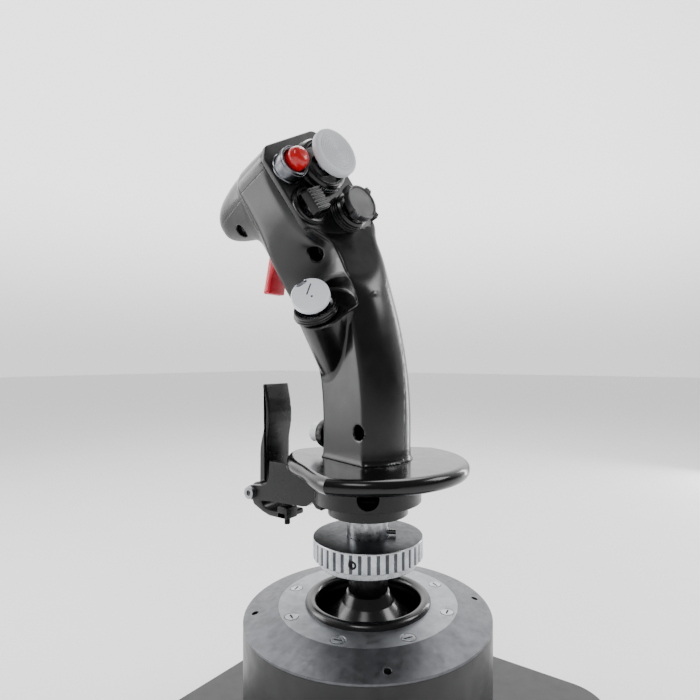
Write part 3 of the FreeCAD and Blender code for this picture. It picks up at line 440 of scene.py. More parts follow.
SCREW_BLACK = metal("screw_black_oxide", "1c1c1e", "2c2c2f", 0.3, 0.45, edge_radius=0.15)
BRONZE = metal("bearing_bronze", "8a6136", "a87c48", 0.3, 0.45, edge_radius=0.15)

SLOT_FINISH = {
    "grip_black": GRIP_BLACK, "rest_black": REST_BLACK, "anodised_black": ANODISED,
    "rim_black": RIM_BLACK, "steel": STEEL, "ring_aluminium": RING_ALUMINIUM, "deck_grey": DECK_GREY,
    "shoulder_metal": SHOULDER, "housing_black": HOUSING_BLACK, "screw_steel": SCREW_STEEL,
    "screw_black": SCREW_BLACK, "rubber_black": RUBBER, "board_green": BOARD_GREEN, "bronze": BRONZE,
    "fire_red": FIRE_RED, "trigger_red": TRIGGER_RED, "cap_grey": CAP_GREY, "cap_white": CAP_WHITE,
    "cap_dark": CAP_DARK, "guard_metal": GUARD,
}


# ---- grip: one smooth body, described by signed distances in the deck frame, then split at its seams -----
POD_BORE_R = 8.2
POD_BORE_END = -20.0
SCREW_HOLE_R = 3.4
SCREW_HOLE_DEPTH = 13.0
TRIGGER_SLOT_MIDDLE = np.array((-10.0, 47.0, 177.0))
TRIGGER_SLOT_HALF = np.array((6.6, 11.0, 15.0))
SCREW_SITES = [((-19.0, -7.4, 88.5), (0.963, -0.271, 0)), (from_head((-41, 2, -10)), HEAD_RIGHT),
               (from_head((-41, 34.5, -51)), HEAD_RIGHT)]


def smooth_min(a, b, k):
    h = np.clip(0.5 + 0.5 * (b - a) / k, 0, 1)
    return b + (a - b) * h - k * h * (1 - h)


def smooth_max(a, b, k):
    return -smooth_min(-a, -b, k)


def handle_lean(z):
    """Sideways shift of the handle at height z: a circular bend, then straight."""
    bend = np.clip(z - BEND_START, 0, BEND_LENGTH)
    straight = np.maximum(z - BEND_START - BEND_LENGTH, 0)
    travel = BEND_RATE * bend ** 2 + 2 * BEND_RATE * BEND_LENGTH * straight
    return -LEAN_LEFT * travel, LEAN_AHEAD * travel


def handle_distance(p):
    """Rounded section, wider at the back, that grows forward to the finger groove under the head."""
    lean_x, lean_y = handle_lean(p[:, 2])
    x = p[:, 0] - lean_x - 0.5
    y = p[:, 1] - lean_y - 0.5
    reach = 2.4 * np.logaddexp(0, (p[:, 2] - 127) / 6)
    half_x = np.where(x < 0, 22.5, 18.6)
    half_y = np.where(y < 0, 20.5, 21.0 + reach)
    rho = ((np.abs(x) / half_x) ** 2.4 + (np.abs(y) / half_y) ** 2.4) ** (1 / 2.4)
    side = np.hypot(x, y) * (1 - 1 / np.maximum(rho, 1e-3))
    side = side - 1.4 * np.exp((GRIP_Z - p[:, 2]) / 0.9)
    return smooth_max(smooth_max(side, p[:, 2] - 190, 8), GRIP_Z - p[:, 2], 0.05)


def left_faces(p, q):
    """Distance in front of the flat left faces of handle and head, with the thumb's hollow between them."""
    lean_x, lean_y = handle_lean(p[:, 2])
    handle = -0.9616 * (p[:, 0] - lean_x + 19.8) + 0.2742 * (p[:, 1] - lean_y + 11.6)
    handle = handle - 1.2 * np.exp((GRIP_Z - p[:, 2]) / 0.9)
    flat = smooth_min(handle, HEAD_LEFT - q[:, 0], 10)
    u, depth = q[:, 1], -q[:, 2]
    hollow = np.exp(-(u / np.where(u > 0, 10.5, 18.0)) ** 2 - (np.maximum(depth, 0) / 20) ** 2)
    return flat + 9.5 * hollow


def block_distance(q):
    """Switch block behind the panel: the panel's outline carried forward."""
    depth = -q[:, 2]
    d = np.maximum(HEAD_LEFT - q[:, 0], -depth)
    for (r0, u0), (r1, u1) in zip(PANEL_OUTLINE[:-1], PANEL_OUTLINE[1:]):
        length = math.hypot(r1 - r0, u1 - u0)
        d = smooth_max(d, ((u1 - u0) * (r0 - q[:, 0]) - (r1 - r0) * (u0 - q[:, 1])) / length, 2.5)
    return smooth_max(d, depth - BLOCK_DEPTH, 7)


def nose_distance(q):
    """Tapering nose over the trigger, with a rounded tip."""
    r, u, depth = q[:, 0], q[:, 1], -q[:, 2]
    t = np.clip(depth - 20, -15, 54)
    left = -38 + 0.187 * t
    right = -0.09 * t - 0.0022 * t ** 2
    bottom = 12 + 0.55 * t - 0.0026 * t ** 2
    top = 56 + 0.13 * t - 0.0042 * t ** 2
    across, up = r - (left + right) / 2, u - (bottom + top) / 2
    tip = np.maximum(depth - 54, 0) / 20
    rho = ((np.abs(across) * 2 / (right - left)) ** 2.7 + (np.abs(up) * 2 / (top - bottom)) ** 2.7
           + tip ** 2.7) ** (1 / 2.7)
    size = np.hypot(np.hypot(across, up), 20 * tip)
    return smooth_max(size * (1 - 1 / np.maximum(rho, 1e-3)), 6 - depth, 4)


def shoulder_distance(p):
    """Filling between the head's left side and the handle, above the thumb pod."""
    offset = (p - np.array((-19.0, 15.0, 169.0))) / np.array((19.0, 21.0, 21.0))
    return 19.0 * (np.linalg.norm(offset, axis=1) - 1)


def rod_distance(p, start, axis, radius):
    """(distance from a rod's side, place along its axis from start)"""
    offset = p - np.array(start)
    along = offset @ np.array(axis)
    away = np.linalg.norm(offset - along[:, None] * np.array(axis), axis=1)
    return away - radius, along


POD_INWARD = unit(np.array((1.0, 0, 0)) - POD_AXIS * POD_AXIS[0])
POD_SIDE = np.cross(POD_AXIS, POD_INWARD)


def pod_distance(p):
    """Round pod under the thumb hat, carried straight into the handle and a little wider at the back."""
    offset = p - POD_FACE - POD_OFFSET
    along, inward, side = offset @ POD_AXIS, offset @ POD_INWARD, offset @ POD_SIDE
    radius = POD_R - 0.4 + 0.03 * (along - POD_END)
    outer = np.hypot(np.minimum(inward, 0), side)
    outer = np.where(inward > 0, np.abs(side) - np.where(side * POD_SIDE[1] < 0, 0.22, 0) * inward, outer)
    body = smooth_max(outer - radius, along - POD_END, 0.8)
    return smooth_max(body, inward - 22, 4)


def grip_distance(p):
    q = to_head(p)
    body = smooth_min(handle_distance(p), block_distance(q), 12)
    body = smooth_min(body, shoulder_distance(p), 8)
    behind = smooth_min(q[:, 2], 0.35 * q[:, 1] + q[:, 2], 5)
    body = smooth_max(body, behind, 3)
    body = smooth_max(body, left_faces(p, q), 1.5)
    body = smooth_min(body, nose_distance(q), 5)
    side, along = rod_distance(p, POD_FACE + POD_OFFSET, POD_AXIS, LEDGE_R)
    body = smooth_max(body, -smooth_max(side, POD_END - along, 3), 1.2)
    inside = smooth_max(p[:, 2] - 160, 110 - p[:, 2], 1)
    pod = smooth_max(smooth_max(pod_distance(p), inside, 2), p[:, 0] + 6, 2)
    body = smooth_min(body, pod, 1.5)
    side, along = rod_distance(p, POD_FACE, POD_AXIS, POD_BORE_R)
    body = smooth_max(body, -np.maximum(side, POD_BORE_END - along), 0.6)
    for start, axis in SCREW_SITES:
        side, along = rod_distance(p, start, axis, SCREW_HOLE_R)
        body = smooth_max(body, -np.maximum(side, along - SCREW_HOLE_DEPTH), 0.9)
    slot = (np.abs(p - TRIGGER_SLOT_MIDDLE) - TRIGGER_SLOT_HALF).max(1)
    body = smooth_max(body, -slot, 1.0)
    recess = np.maximum(block_distance(q + np.array((0, 0, -PANEL_T))) + 0.15, -q[:, 2] - PANEL_T)
    return np.maximum(body, -recess)


def surface_net(distance, lower, upper, step):
    """Closed quad mesh on the zero level of distance(points), as (vertices, quads)."""
    block = 8
    lower = np.array(lower, float)
    cells = (np.ceil((np.array(upper) - lower) / step / block) * block).astype(int)
    blocks = np.meshgrid(*[np.arange(n) for n in cells // block], indexing="ij")
    corners = np.stack(blocks, -1).reshape(-1, 3) * block
    middle = distance((corners + block / 2) * step + lower)
    grid = middle.reshape(cells // block)
    for axis in range(3):
        grid = np.repeat(grid, block, axis)
    grid = np.pad(grid, ((0, 1), (0, 1), (0, 1)), mode="edge").astype(np.float32)
    near = corners[np.abs(middle) < block * step * 1.5]
    local = np.stack(np.meshgrid(*[np.arange(block + 1)] * 3, indexing="ij"), -1).reshape(-1, 3)
    for part in np.array_split(near, max(1, len(near) // 800)):
        index = (part[:, None, :] + local[None]).reshape(-1, 3)
        grid[index[:, 0], index[:, 1], index[:, 2]] = distance(index * step + lower)
    inside = grid < 0
    sizes = np.array(grid.shape) - 1
    full = np.zeros(sizes, dtype=np.int32)
    for i, j, k in np.ndindex(2, 2, 2):
        full += inside[i:sizes[0] + i, j:sizes[1] + j, k:sizes[2] + k]
    cell = np.argwhere((full > 0) & (full < 8))
    number = np.full(sizes, -1, dtype=np.int64)
    number[tuple(cell.T)] = np.arange(len(cell))
    total = np.zeros((len(cell), 3))
    crossings = np.zeros(len(cell))
    quads = []
    for axis in range(3):
        one, two = [n for n in range(3) if n != axis]
        along, step_one, step_two = np.eye(3, dtype=int)[[axis, one, two]]
        for a, b in np.ndindex(2, 2):
            start = a * step_one + b * step_two
            v0, v1 = grid[tuple((cell + start).T)], grid[tuple((cell + start + along).T)]
            crosses = (v0 < 0) != (v1 < 0)
            t = np.where(crosses, v0 / np.where(crosses, v0 - v1, 1), 0)
            total += crosses[:, None] * (start + t[:, None] * along)
            crossings += crosses
        here = inside[:sizes[0], :sizes[1], :sizes[2]]
        after = inside[tuple(slice(m, sizes[n] + m) for n, m in enumerate(along))]
        edge = np.argwhere(here != after)
        edge = edge[(edge[:, one] > 0) & (edge[:, two] > 0)]
        ring = (edge, edge - step_one, edge - step_one - step_two, edge - step_two)
        quads.append(np.stack([number[tuple(c.T)] for c in ring], 1))
    return (cell + total / crossings[:, None]) * step + lower, np.concatenate(quads)


def slope(distance, points, reach=0.12):
    return np.stack([(distance(points + reach * e) - distance(points - reach * e)) / (2 * reach)
                     for e in np.eye(3)], 1)


def settle(verts, distance, step):
    """Vertices moved onto the true zero level."""
    for _ in range(2):
        grade = slope(distance, verts)
        shift = distance(verts)[:, None] * grade / np.maximum((grade ** 2).sum(1), 0.05)[:, None]
        size = np.linalg.norm(shift, axis=1)
        verts = verts - shift * np.minimum(1, 0.5 * step / np.maximum(size, 1e-9))[:, None]
    return verts


def cut_half(source, cuts):
    """Copy of a mesh cut by planes (point, normal), without what lies along each normal, and closed again."""
    half = source.copy()
    for point, normal in cuts:
        geometry = half.verts[:] + half.edges[:] + half.faces[:]
        cut = bmesh.ops.bisect_plane(half, geom=geometry, plane_co=point, plane_no=normal, clear_outer=True)
        rim = [e for e in cut["geom_cut"] if isinstance(e, bmesh.types.BMEdge)]
        corners = list({v for e in rim for v in e.verts})
        inward = -slope(grip_distance, np.array([v.co for v in corners]))
        inward -= (inward @ np.array(normal))[:, None] * np.array(normal)
        inward /= np.maximum(np.linalg.norm(inward, axis=1), 1e-6)[:, None]
        for corner, direction in zip(corners, inward):
            corner.co += Vector(direction * SEAM_SINK)
        bmesh.ops.triangle_fill(half, edges=rim, use_beauty=True, normal=normal)
    half.verts.ensure_lookup_table()
    half.verts.index_update()
    verts = np.array([v.co for v in half.verts])
    faces = [[v.index for v in f.verts] for f in half.faces]
    half.free()
    return verts, faces


def build_grip():
    verts, quads = surface_net(grip_distance, (-56, -26, 70), (24, 94, 246), GRIP_STEP)
    verts = settle(verts, grip_distance, GRIP_STEP)
    mesh = bpy.data.meshes.new("sculpt")
    mesh.from_pydata(verts.tolist(), [], quads.tolist())
    whole = bmesh.new()
    whole.from_mesh(mesh)
    bpy.data.meshes.remove(mesh)
    bmesh.ops.recalc_face_normals(whole, faces=whole.faces)
    seam_at = (0, 0, GRIP_Z)
    seam = np.array((math.cos(SEAM_TILT), 0, -math.sin(SEAM_TILT)))
    cover_at = from_head((0, COVER_U, 0))
    cover = HEAD_AXES[:, 1]
    place = np.eye(4)
    place[2, 3] = DECK_Z
    for name, cuts, node in (("grip_left", [(cover_at, cover), (seam_at, seam)], "grip_left_shell"),
                             ("grip_right", [(cover_at, cover), (seam_at, -seam)], "grip_right_shell"),
                             ("grip_cover", [(cover_at, -cover)], "head_cover")):
        piece(name, cut_half(whole, cuts), place, "stick", [node], GRIP_BLACK, 32)
    whole.free()


build_grip()

# ---- switch panel and its controls --------------------------------------------------------------------
panel = prism(rounded(PANEL_OUTLINE, PANEL_CORNERS), -PANEL_T + 0.02, 0.0, edge=0.7, foot_edge=0.3)
piece("panel_plate", panel, HEAD, "stick", ["switch_panel"], PANEL_BLACK)

collar = rounded([(5.4, 0.02), (13.6, 0.02), (13.6, 2.2), (12.9, 2.4), (12.9, 4.9), (11.9, 6.0), (10.4, 6.0),
                  (9.8, 3.4), (5.4, 3.4)], 0.35)
tick = prism([(-0.14, -0.55), (0.14, -0.55), (0.14, 0.55), (-0.14, 0.55)], 0.0, 0.12, edge=0.04)
TICK_UPRIGHT = Matrix.Rotation(math.radians(90), 4, "Y") @ Matrix.Rotation(math.radians(90), 4, "Z")
TICK_OUT = Matrix.Translation((12.84, 0, 3.65))
ticks = [shifted(tick, np.array(Matrix.Rotation(math.radians(a), 4, "Z") @ TICK_OUT @ TICK_UPRIGHT))
         for a in range(-130, -19, 5)]
piece("trim_switch_collar", lathe(collar), on_head(TRIM_AT), "stick", ["trim_collar"],
      HAT_BLACK)
piece("trim_switch_ticks", joined(*ticks), on_head(TRIM_AT), "stick", [], CAP_GREY)


def ridged_crown(radius, foot, edge_z, crown_z, ridges, ridge_h):
    """Profile of a shallow dome with concentric ridges, from its underside to the middle of its top."""
    start = radius - 2.0
    side = rounded([(0, foot), (radius - 0.5, foot), (radius, foot + 1.0), (radius, edge_z), (start, edge_z)],
                   [0, 0.3, 0.4, 1.3, 0], closed=False)
    top = []
    for k in range(1, ridges * 8 + 1):
        r = start * (1 - k / (ridges * 8 + 1))
        rise = (crown_z - edge_z) * (1 - (r / start) ** 2)
        top.append((r, edge_z + rise - ridge_h * (0.5 - 0.5 * math.cos(2 * math.pi * k / 8))))
    return side + top + [(0, crown_z)]


stem = [(0, 4.9), (3.4, 4.9), (3.4, 9.0), (6.2, 11.7), (0, 11.7)]
crown = ridged_crown(radius=11.6, foot=11.6, edge_z=15.7, crown_z=16.6, ridges=9, ridge_h=0.3)
cap = joined(lathe(crown, 160), lathe(rounded(stem, 0.2, closed=False)))
piece("trim_switch_cap", cap, on_head(TRIM_AT), "trim", ["trim_cap"], CAP_GREY, 50)

base = rounded([(4.9, 0.02), (9.6, 0.02), (9.6, 1.0), (9.0, 1.2), (8.6, 2.0), (7.5, 2.0), (6.9, 1.3),
                (4.9, 1.1)], 0.25)
piece("castle_switch_base", lathe(base), on_head(CASTLE_AT), "stick", ["castle_base"],
      HAT_BLACK)


def taper(half0, half1, z0, z1, corner, steps=6):
    """Block that narrows from half sizes half0 to half1 between two heights, with its edges rounded."""
    top_edge = 0.5
    outlines = []

    def add_outline(hx, hy, z, radius):
        corners = [(-hx, -hy), (hx, -hy), (hx, hy), (-hx, hy)]
        outlines.append([(x, y, z) for x, y in rounded(corners, radius, steps=steps)])

    for t in (0.0, 0.5, 1.0):
        hx, hy = (a + (b - a) * t for a, b in zip(half0, half1))
        add_outline(hx, hy, z0 + (z1 - top_edge - z0) * t, corner)
    add_outline(half1[0] - top_edge, half1[1] - top_edge, z1, corner - 0.4)
    n = len(outlines[0])
    verts = [p for ring in outlines for p in ring]
    faces = [list(range(n))[::-1], list(range(3 * n, 4 * n))]
    faces += [[row * n + k, row * n + (k + 1) % n, (row + 1) * n + (k + 1) % n, (row + 1) * n + k]
              for row in range(3) for k in range(n)]
    return verts, faces


knob = [taper((5.2, 6.0), (4.4, 5.5), 3.7, 7.5, 1.2)]
bar = prism(rounded([(-3.9, -0.42), (3.9, -0.42), (3.9, 0.42), (-3.9, 0.42)], 0.3, steps=3), 7.3, 8.3, 0.3)
knob += [shifted(bar, move(y=1.55 * k)) for k in range(-3, 4)]
knob.append(lathe(rounded([(0, 2.9), (3.4, 2.9), (3.4, 3.6), (0, 3.6)], 0.1, closed=False)))
piece("castle_switch_cap", joined(*knob), on_head(CASTLE_AT), "castle", ["castle_cap"],
      HAT_BLACK)

column = rounded([(4.9, 0.02), (9.6, 0.02), (9.6, 0.9), (9.0, 1.1), (9.0, 1.9), (8.6, 2.1), (8.6, 2.5),
                  (9.0, 2.7), (9.0, 3.5), (8.6, 3.7), (8.6, 4.1), (9.0, 4.3), (9.0, 5.2), (8.0, 6.2),
                  (7.0, 6.2), (6.4, 4.4), (4.9, 4.4)], 0.18)
piece("notched_switch_column", lathe(column), on_head(NOTCHED_AT), "stick", ["notched_column"],
      HAT_BLACK)
dish = rounded([(0, 7.6), (4.0, 7.6), (6.5, 9.6), (8.6, 9.6), (8.6, 13.0), (7.6, 13.0), (7.3, 12.5),
                (0, 12.7)], [0, 0.2, 0.6, 0.4, 0.5, 0.15, 0.15, 0], closed=False)
notched = [lathe(dish), lathe(rounded([(0, 5.4), (3.4, 5.4), (3.4, 8.0), (0, 8.0)], 0.1, closed=False))]
lug = rounded([(7.4, -2.2), (9.7, -1.8), (10.2, -1.1), (10.2, 1.1), (9.7, 1.8), (7.4, 2.2)], 0.4, steps=3)
for k in range(4):
    notched.append(shifted(prism(lug, 9.7, 13.1, 0.4, 0.3), move(turn=25 + 90 * k)))
    for y in (-1.05, 0.0, 1.05):
        rib = prism([(8.2, y - 0.25), (10.0, y - 0.25), (10.0, y + 0.25), (8.2, y + 0.25)], 12.9, 13.4, 0.15)
        notched.append(shifted(rib, move(turn=25 + 90 * k)))
piece("notched_switch_cap", joined(*notched), on_head(NOTCHED_AT), "notched", ["notched_cap"],
      CAP_DARK)

guard = rounded([(5.4, 0.02), (7.5, 0.02), (7.5, 1.0), (7.1, 1.3), (7.1, 6.4), (6.9, 6.6), (6.9, 8.0),
                 (6.0, 8.0), (5.4, 7.4), (5.4, 0.6)], 0.2)
piece("fire_button_guard", lathe(guard), on_head(FIRE_AT), "stick", ["fire_guard"], GUARD)
dome = rounded([(0, -0.4), (2.2, -0.4), (2.2, 4.6), (4.9, 4.6), (4.9, 10.8), (3.9, 13.0), (1.9, 13.7),
                (0, 13.8)],
               [0, 0.1, 0.1, 0.3, 2.6, 2.4, 2.4, 0], closed=False, steps=8)
piece("fire_button_dome", lathe(dome), on_head(FIRE_AT), "fire", ["fire_button"], FIRE_RED, 45)

# ---- thumb hat on the pod -------------------------------------------------------------------------------
bezel = rounded([(6.2, -18.0), (7.9, -18.0), (7.9, POD_END + 0.02), (10.6, POD_END + 0.02), (10.6, -9.6),
                 (10.2, -9.3), (10.2, -8.6), (9.8, -8.3), (9.8, -7.2), (8.6, -7.2), (7.4, -8.4), (6.2, -8.4)],
                0.25)
piece("side_switch_bezel", lathe(bezel), POD, "stick", ["side_hat_bezel"], HAT_BLACK)

HAT_R = 8.8
HAT_MIDDLE = -1.6
NOTCH_HALF = 1.9
REAR_LEFT = np.array((-0.744, -0.657, -0.125))      # the cap faces between the pod's axis and this way
HAT_FACING = unit(POD_AXIS + 0.62 * REAR_LEFT)
HAT_UP = np.array((-0.319, 0.4555, 0.83))
MARK_LOW, MARK_HIGH = 1.5, 1.83                     # the engraved line and the small hole, drawn as dark marks of painted shade just proud of the cap
hat_place = local_frame(POD[:3, 3] + HAT_MIDDLE * POD_AXIS, HAT_UP, HAT_FACING)
notch_angle = math.degrees(math.asin(NOTCH_HALF / HAT_R))
rim = [(HAT_R * math.cos(math.radians(a)), HAT_R * math.sin(math.radians(a)))
       for a in np.linspace(notch_angle, 360 - notch_angle, 90)]
notch = rounded([rim[-1], (7.1, -NOTCH_HALF), (7.1, NOTCH_HALF), rim[0]], [0, 0.6, 0.6, 0], closed=False,
                steps=4)
hat_stem = rounded([(0, -7.4), (3.0, -7.4), (3.0, -4.4), (4.6, -1.7), (0, -1.7)], 0.2, closed=False)
hat = joined(prism(rim + notch[1:-1], -1.8, 1.8, edge=1.0, foot_edge=0.7, steps=5), lathe(hat_stem))
piece("side_switch_cap", hat, hat_place, "side_hat", ["side_hat_cap"], CAP_WHITE, 40)
# The engraved line and the small hole aren't cut into the cap: dark marks stand in for them, painted shade.
line = rounded([(0, -0.34), (6.2, -0.34), (6.2, 0.34), (0, 0.34)], 0.3, steps=3)
line = shifted(prism(line, MARK_LOW, MARK_HIGH, 0.03), move(0.4, 1.4, turn=-49))
dot = [(0.55 * math.cos(a) - 1.7, 0.55 * math.sin(a)) for a in np.linspace(0, 6.28, 20)[:-1]]
dot = prism(dot, MARK_LOW, MARK_HIGH, 0.03)
piece("side_switch_mark_shade", joined(line, dot), hat_place, "side_hat", [], CAP_MARK_SHADE)

# ---- little-finger button -------------------------------------------------------------------------------
PINKY_FACE = high("pinky_button")[1]
pinky_z = (low("pinky_button")[2] + high("pinky_button")[2]) / 2
PINKY = local_frame((-2.0, low("pinky_bezel")[1], pinky_z), (1, 0, 0), (0, 1, 0))
pinky_ring = rounded([(5.1, 0), (5.6, 0), (5.6, 7.3), (7.8, 7.3), (7.8, 9.2), (7.3, 9.4), (7.3, 10.8),
                      (6.6, 12.1), (5.3, 12.1), (5.1, 11.4)], 0.25)
piece("pinky_button_ring", lathe(pinky_ring, 72), PINKY, "stick", ["pinky_bezel"], HAT_BLACK)
reach = PINKY_FACE - low("pinky_bezel")[1]
pinky_body = rounded([(0, 0.6), (2, 0.6), (2, 5.5), (4.9, 5.5), (4.9, reach), (0, reach)],
                     [0, 0.2, 0.2, 0.3, 0.8, 0], closed=False)
piece("pinky_button_body", lathe(pinky_body, 72), PINKY, "pinky", ["pinky_button"], BUTTON_CLEAR)

# ---- trigger --------------------------------------------------------------------------------------------
SIDEWAYS = local_frame((0, 0, 0), (0, 1, 0), (1, 0, 0))     # x of the outline is row Y, its y is row Z
TRIGGER_LEFT, TRIGGER_RIGHT = low("trigger")[0], high("trigger")[0]
BLADE_Y, BLADE_Z = 44.0, DECK_Z + 186.0              # the outline below is measured from here
blade = [(-3.6, -2), (-1.5, -8), (3.2, -16), (6.4, -22), (7.4, -27), (7.8, -30), (12.6, -30), (11.0, -24),
         (9.4, -17), (7.6, -9), (4.2, -1), (2.0, 3.4), (-2.6, 3.0)]
blade = rounded([(BLADE_Y + y, BLADE_Z + z) for y, z in blade], [2, 8, 8, 8, 4, 0.8, 1.0, 8, 12, 12, 6, 2, 2])
piece("trigger_blade", prism(blade, TRIGGER_LEFT, TRIGGER_RIGHT, 1.2, 1.2), SIDEWAYS, "trigger", ["trigger"],
      TRIGGER_RED)

# ---- locking ring ---------------------------------------------------------------------------------------
RING_LOW, RING_HIGH = low("locking_ring")[2], high("locking_ring")[2]
RING_R = high("locking_ring")[0]
LIP_R = RING_R - 2.7
LIP_TOP = RING_LOW + 3.5
FLUTE_TOP = RING_HIGH - 0.8
FLUTES = 40
FLUTE_R = 1.25
FLUTE_OUT = 0.55


def fluted(radius, height, angle):
    """Radius of the ring's rim, where round flutes are cut into it from just above the lip."""
    if radius < LIP_R + 0.1 or height > FLUTE_TOP:
        return radius
    pitch = 2 * math.pi / FLUTES
    away = abs((angle + pitch / 2) % pitch - pitch / 2) * radius
    inside = FLUTE_R ** 2 - away ** 2
    return radius if inside <= FLUTE_OUT ** 2 else min(radius, RING_R + FLUTE_OUT - math.sqrt(inside))


FLANGE_WIDTH = 9.4
BORE_GAP = 0.06
ring_bore = high("neck_flange")[0] - FLANGE_WIDTH + BORE_GAP
ring = rounded([(ring_bore, RING_LOW), (LIP_R, RING_LOW), (LIP_R, LIP_TOP), (RING_R, LIP_TOP),
                (RING_R, FLUTE_TOP - 0.01), (RING_R, FLUTE_TOP + 0.02), (RING_R, RING_HIGH),
                (ring_bore, RING_HIGH)], [0.3, 0.5, 0.2, 0.4, 0, 0, 0.45, 0.4])
knurled = piece("knurled_ring", lathe(ring, FLUTES * 16, fluted), np.eye(4), "lock_ring", ["locking_ring"],
                RING_ALUMINIUM)
knurled.data.materials.append(RING_TOP)
knurled.data.materials.append(RING_GROOVE_SHADE)
# The ring's flat top takes the slate face; faces down in the flute grooves take the darker aluminium, which
# is painted shade in the grooves.
for face in knurled.data.polygons:
    height = face.center.z / MM
    in_painted_groove_shade = math.hypot(*face.center[:2]) / MM < RING_R - 0.4
    if face.normal.z > 0.9 and height > RING_HIGH - 0.2:
        face.material_index = 1
    elif in_painted_groove_shade and LIP_TOP + 0.1 < height < FLUTE_TOP:
        face.material_index = 2
screw_middle = (low("ring_set_screw") + high("ring_set_screw")) / 2
outward = unit((screw_middle[0], screw_middle[1], 0))
socket = rounded([(0, -0.5), (0.9, -0.5), (0.9, 0.06), (1.9, 0.06), (1.9, -3.0), (0, -3.0)], 0.08,
                 closed=False)
socket_place = local_frame(outward * RING_R + (0, 0, screw_middle[2]), (0, 0, 1), outward)
piece("ring_set_screw_socket", lathe(socket, 48), socket_place, "lock_ring", [], SCREW_BLACK)

# ---- paddle ---------------------------------------------------------------------------------------------
HINGE_Y, HINGE_Z = 62.7, DECK_Z + 51.4
PADDLE_HALF = 9.0
LEVER_HALF = 13.9


def sideways_slab(points, radii, x0, x1, edge):
    """Slab with its outline [(row y, height above the deck)] between two places along x."""
    outline = rounded([(y, z + DECK_Z) for y, z in points], radii)
    return shifted(prism(outline, x0, x1, edge, edge), SIDEWAYS)


paddle_blade = [(61.4, 50), (61.4, 71), (60.8, 78), (59.0, 87), (58.9, 93), (59.9, 100), (61.4, 106.4),
                (61.8, 108.3), (64.1, 108.3), (64.0, 106.4), (62.6, 101), (61.8, 95), (62.1, 88), (63.8, 82),
                (65.5, 76), (66.2, 71), (66.3, 50)]
blade_radii = [0.3, 20, 20, 12, 12, 20, 3, 0.4, 0.9, 3, 20, 12, 12, 20, 20, 20, 0.3]
arm = [(67.1, 50.4), (66.3, 44.1), (59, 40.9), (54, 39.5), (42, 39.5), (42, 42.5), (54, 42.5), (58.5, 44.1),
       (60.5, 50.4)]
knuckle = rounded([(1.9, -LEVER_HALF), (4.6, -LEVER_HALF), (4.6, PADDLE_HALF), (1.9, PADDLE_HALF)], 0.5)
block = rounded([(-LEVER_HALF, 41), (-LEVER_HALF + 8, 41), (-LEVER_HALF + 8, 48), (-LEVER_HALF, 48)], 0.6)
lever = joined(sideways_slab(paddle_blade, blade_radii, -PADDLE_HALF, PADDLE_HALF, 0.9),
               sideways_slab(arm, [1, 3, 6, 8, 1, 1, 8, 6, 1], -LEVER_HALF, -0.1, 0.5),
               shifted(lathe(knuckle, 64), local_frame((0, HINGE_Y, HINGE_Z), (0, 1, 0), (1, 0, 0))),
               prism(block, DECK_Z + 39.5, DECK_Z + 45.5, 0.5, 0.5))
piece("paddle_blade", lever, np.eye(4), "paddle", ["paddle_lever"], ANODISED)

# ---- CAD nodes that stay --------------------------------------------------------------------------------
for part in frame["record"]["subparts"]:
    node = frame["nodes"][part["node"]]
    if node.hide_render:
        continue
    node.data.set_sharp_from_angle(angle=math.radians(35))
    finish = SLOT_FINISH[part["material_slot"]]
    if not node.material_slots:
        node.data.materials.append(finish)
    for slot in node.material_slots:
        slot.material = finish

# ---- stage: pale floor, soft light, camera ------------------------------------------------------------
FLOOR_HALF = 6.0
FLOOR_Z = -0.0005


def plane(name, size, z, material):
    mesh = bpy.data.meshes.new(name)
    corners = [(-size, -size, z), (size, -size, z), (size, size, z), (-size, size, z)]
    mesh.from_pydata(corners, [], [(0, 1, 2, 3)])
    mesh.materials.append(material)
    obj = bpy.data.objects.new(name, mesh)
    bpy.context.scene.collection.objects.link(obj)


floor = Finish("pale_floor", specular=0.2)
floor.paint(floor.blend(floor.noise(60.0), colour("efefef"), colour("f4f4f4")))
floor.rough(floor.noise(8.0), 0.6, 0.7)
plane("floor", FLOOR_HALF, FLOOR_Z, floor.done())

VIEW_AZIMUTH = math.radians(-55.0)
FORWARD = Vector((-math.sin(VIEW_AZIMUTH), math.cos(VIEW_AZIMUTH), 0))
RIGHTWARD = Vector((math.cos(VIEW_AZIMUTH), math.sin(VIEW_AZIMUTH), 0))
# The lens and the shift were measured on the photo. The shift is a fraction of the frame's width.
LENS_MM = 26.742857143
SHIFT_X, SHIFT_Y = -0.025714286, 0.012857143
CAMERA_AT = Vector((-0.2081, -0.1457, 0.1879))

camera_data = bpy.data.cameras.new("camera")
camera_data.sensor_width = 36.0
camera_data.lens = LENS_MM
camera_data.shift_x = SHIFT_X
camera_data.shift_y = SHIFT_Y
camera_data.clip_start = 0.01
camera = bpy.data.objects.new("camera", camera_data)
bpy.context.scene.collection.objects.link(camera)
camera.matrix_world = Matrix(((RIGHTWARD.x, 0, -FORWARD.x, CAMERA_AT.x),
                              (RIGHTWARD.y, 0, -FORWARD.y, CAMERA_AT.y),
                              (0, 1, 0, CAMERA_AT.z), (0, 0, 0, 1)))
bpy.context.scene.camera = camera


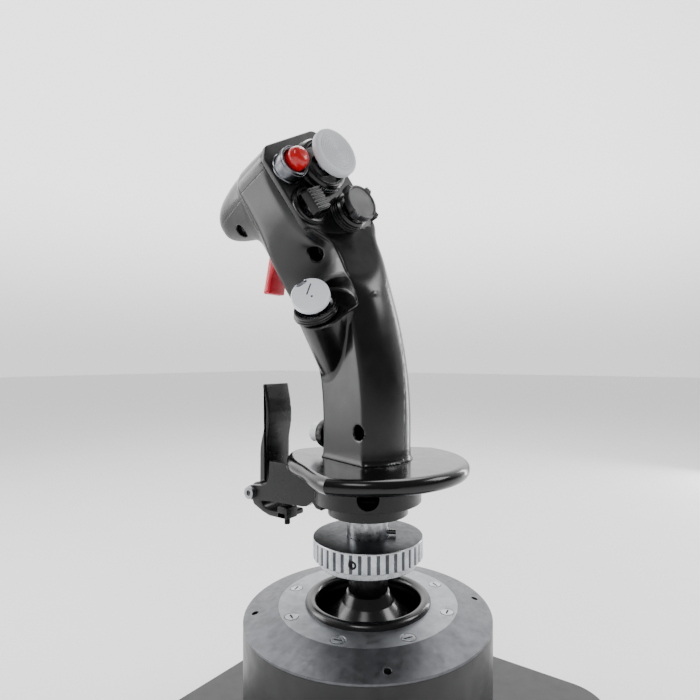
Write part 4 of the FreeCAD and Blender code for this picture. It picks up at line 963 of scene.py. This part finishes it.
def softbox(name, right, forward, up, width, height, power, target=(0, 0, 0.19)):
    """Area light placed from the object's middle, in metres to the camera's right, ahead and up."""
    data = bpy.data.lights.new(name, "AREA")
    data.shape = "RECTANGLE"
    data.size = width
    data.size_y = height
    data.energy = power
    light = bpy.data.objects.new(name, data)
    bpy.context.scene.collection.objects.link(light)
    light.location = Vector(target) + RIGHTWARD * right + FORWARD * forward + Vector((0, 0, up))
    light.rotation_euler = (Vector(target) - light.location).to_track_quat("-Z", "Y").to_euler()


softbox("key_left", -0.78, 0.18, 0.3, 0.3, 0.45, 2.6)
softbox("low_left", -0.45, 0.0, -0.13, 0.25, 0.2, 0.6, (0, 0.03, 0.33))
softbox("top_back", 0.05, 0.4, 0.9, 0.8, 0.5, 8.0)
softbox("right_panel", 0.85, 0.05, 0.42, 0.35, 0.4, 4.0, (0, 0, 0.33))
softbox("right_strip", 0.62, 0.56, 0.05, 0.06, 0.5, 2.0)
softbox("front_fill", -0.25, -0.75, 0.7, 0.4, 0.4, 4.0, (0, 0, 0.33))

world = bpy.data.worlds.new("studio")
world.use_nodes = True
bpy.context.scene.world = world
nodes, links = world.node_tree.nodes, world.node_tree.links
nodes["Background"].inputs["Color"].default_value = (1, 1, 1, 1)
direction = nodes.new("ShaderNodeTexCoord").outputs["Generated"]


def sky(axis, start, end, low_value, high_value):
    """World brightness that rises with the direction's share of an axis."""
    share = nodes.new("ShaderNodeVectorMath")
    share.operation = "DOT_PRODUCT"
    share.inputs[1].default_value = axis
    links.new(direction, share.inputs[0])
    rise = nodes.new("ShaderNodeMapRange")
    rise.interpolation_type = "SMOOTHSTEP"
    for key, value in zip(RANGE_SOCKETS, (start, end, low_value, high_value)):
        rise.inputs[key].default_value = value
    links.new(share.outputs["Value"], rise.inputs["Value"])
    return rise.outputs["Result"]


product = nodes.new("ShaderNodeMath")
product.operation = "MULTIPLY"
links.new(sky(FORWARD - 0.3 * RIGHTWARD, -0.2, 0.8, 0.1, 1.0), product.inputs[0])
links.new(sky((0, 0, 1), 0.0, 0.3, 1.3, 2.6), product.inputs[1])
links.new(product.outputs["Value"], nodes["Background"].inputs["Strength"])
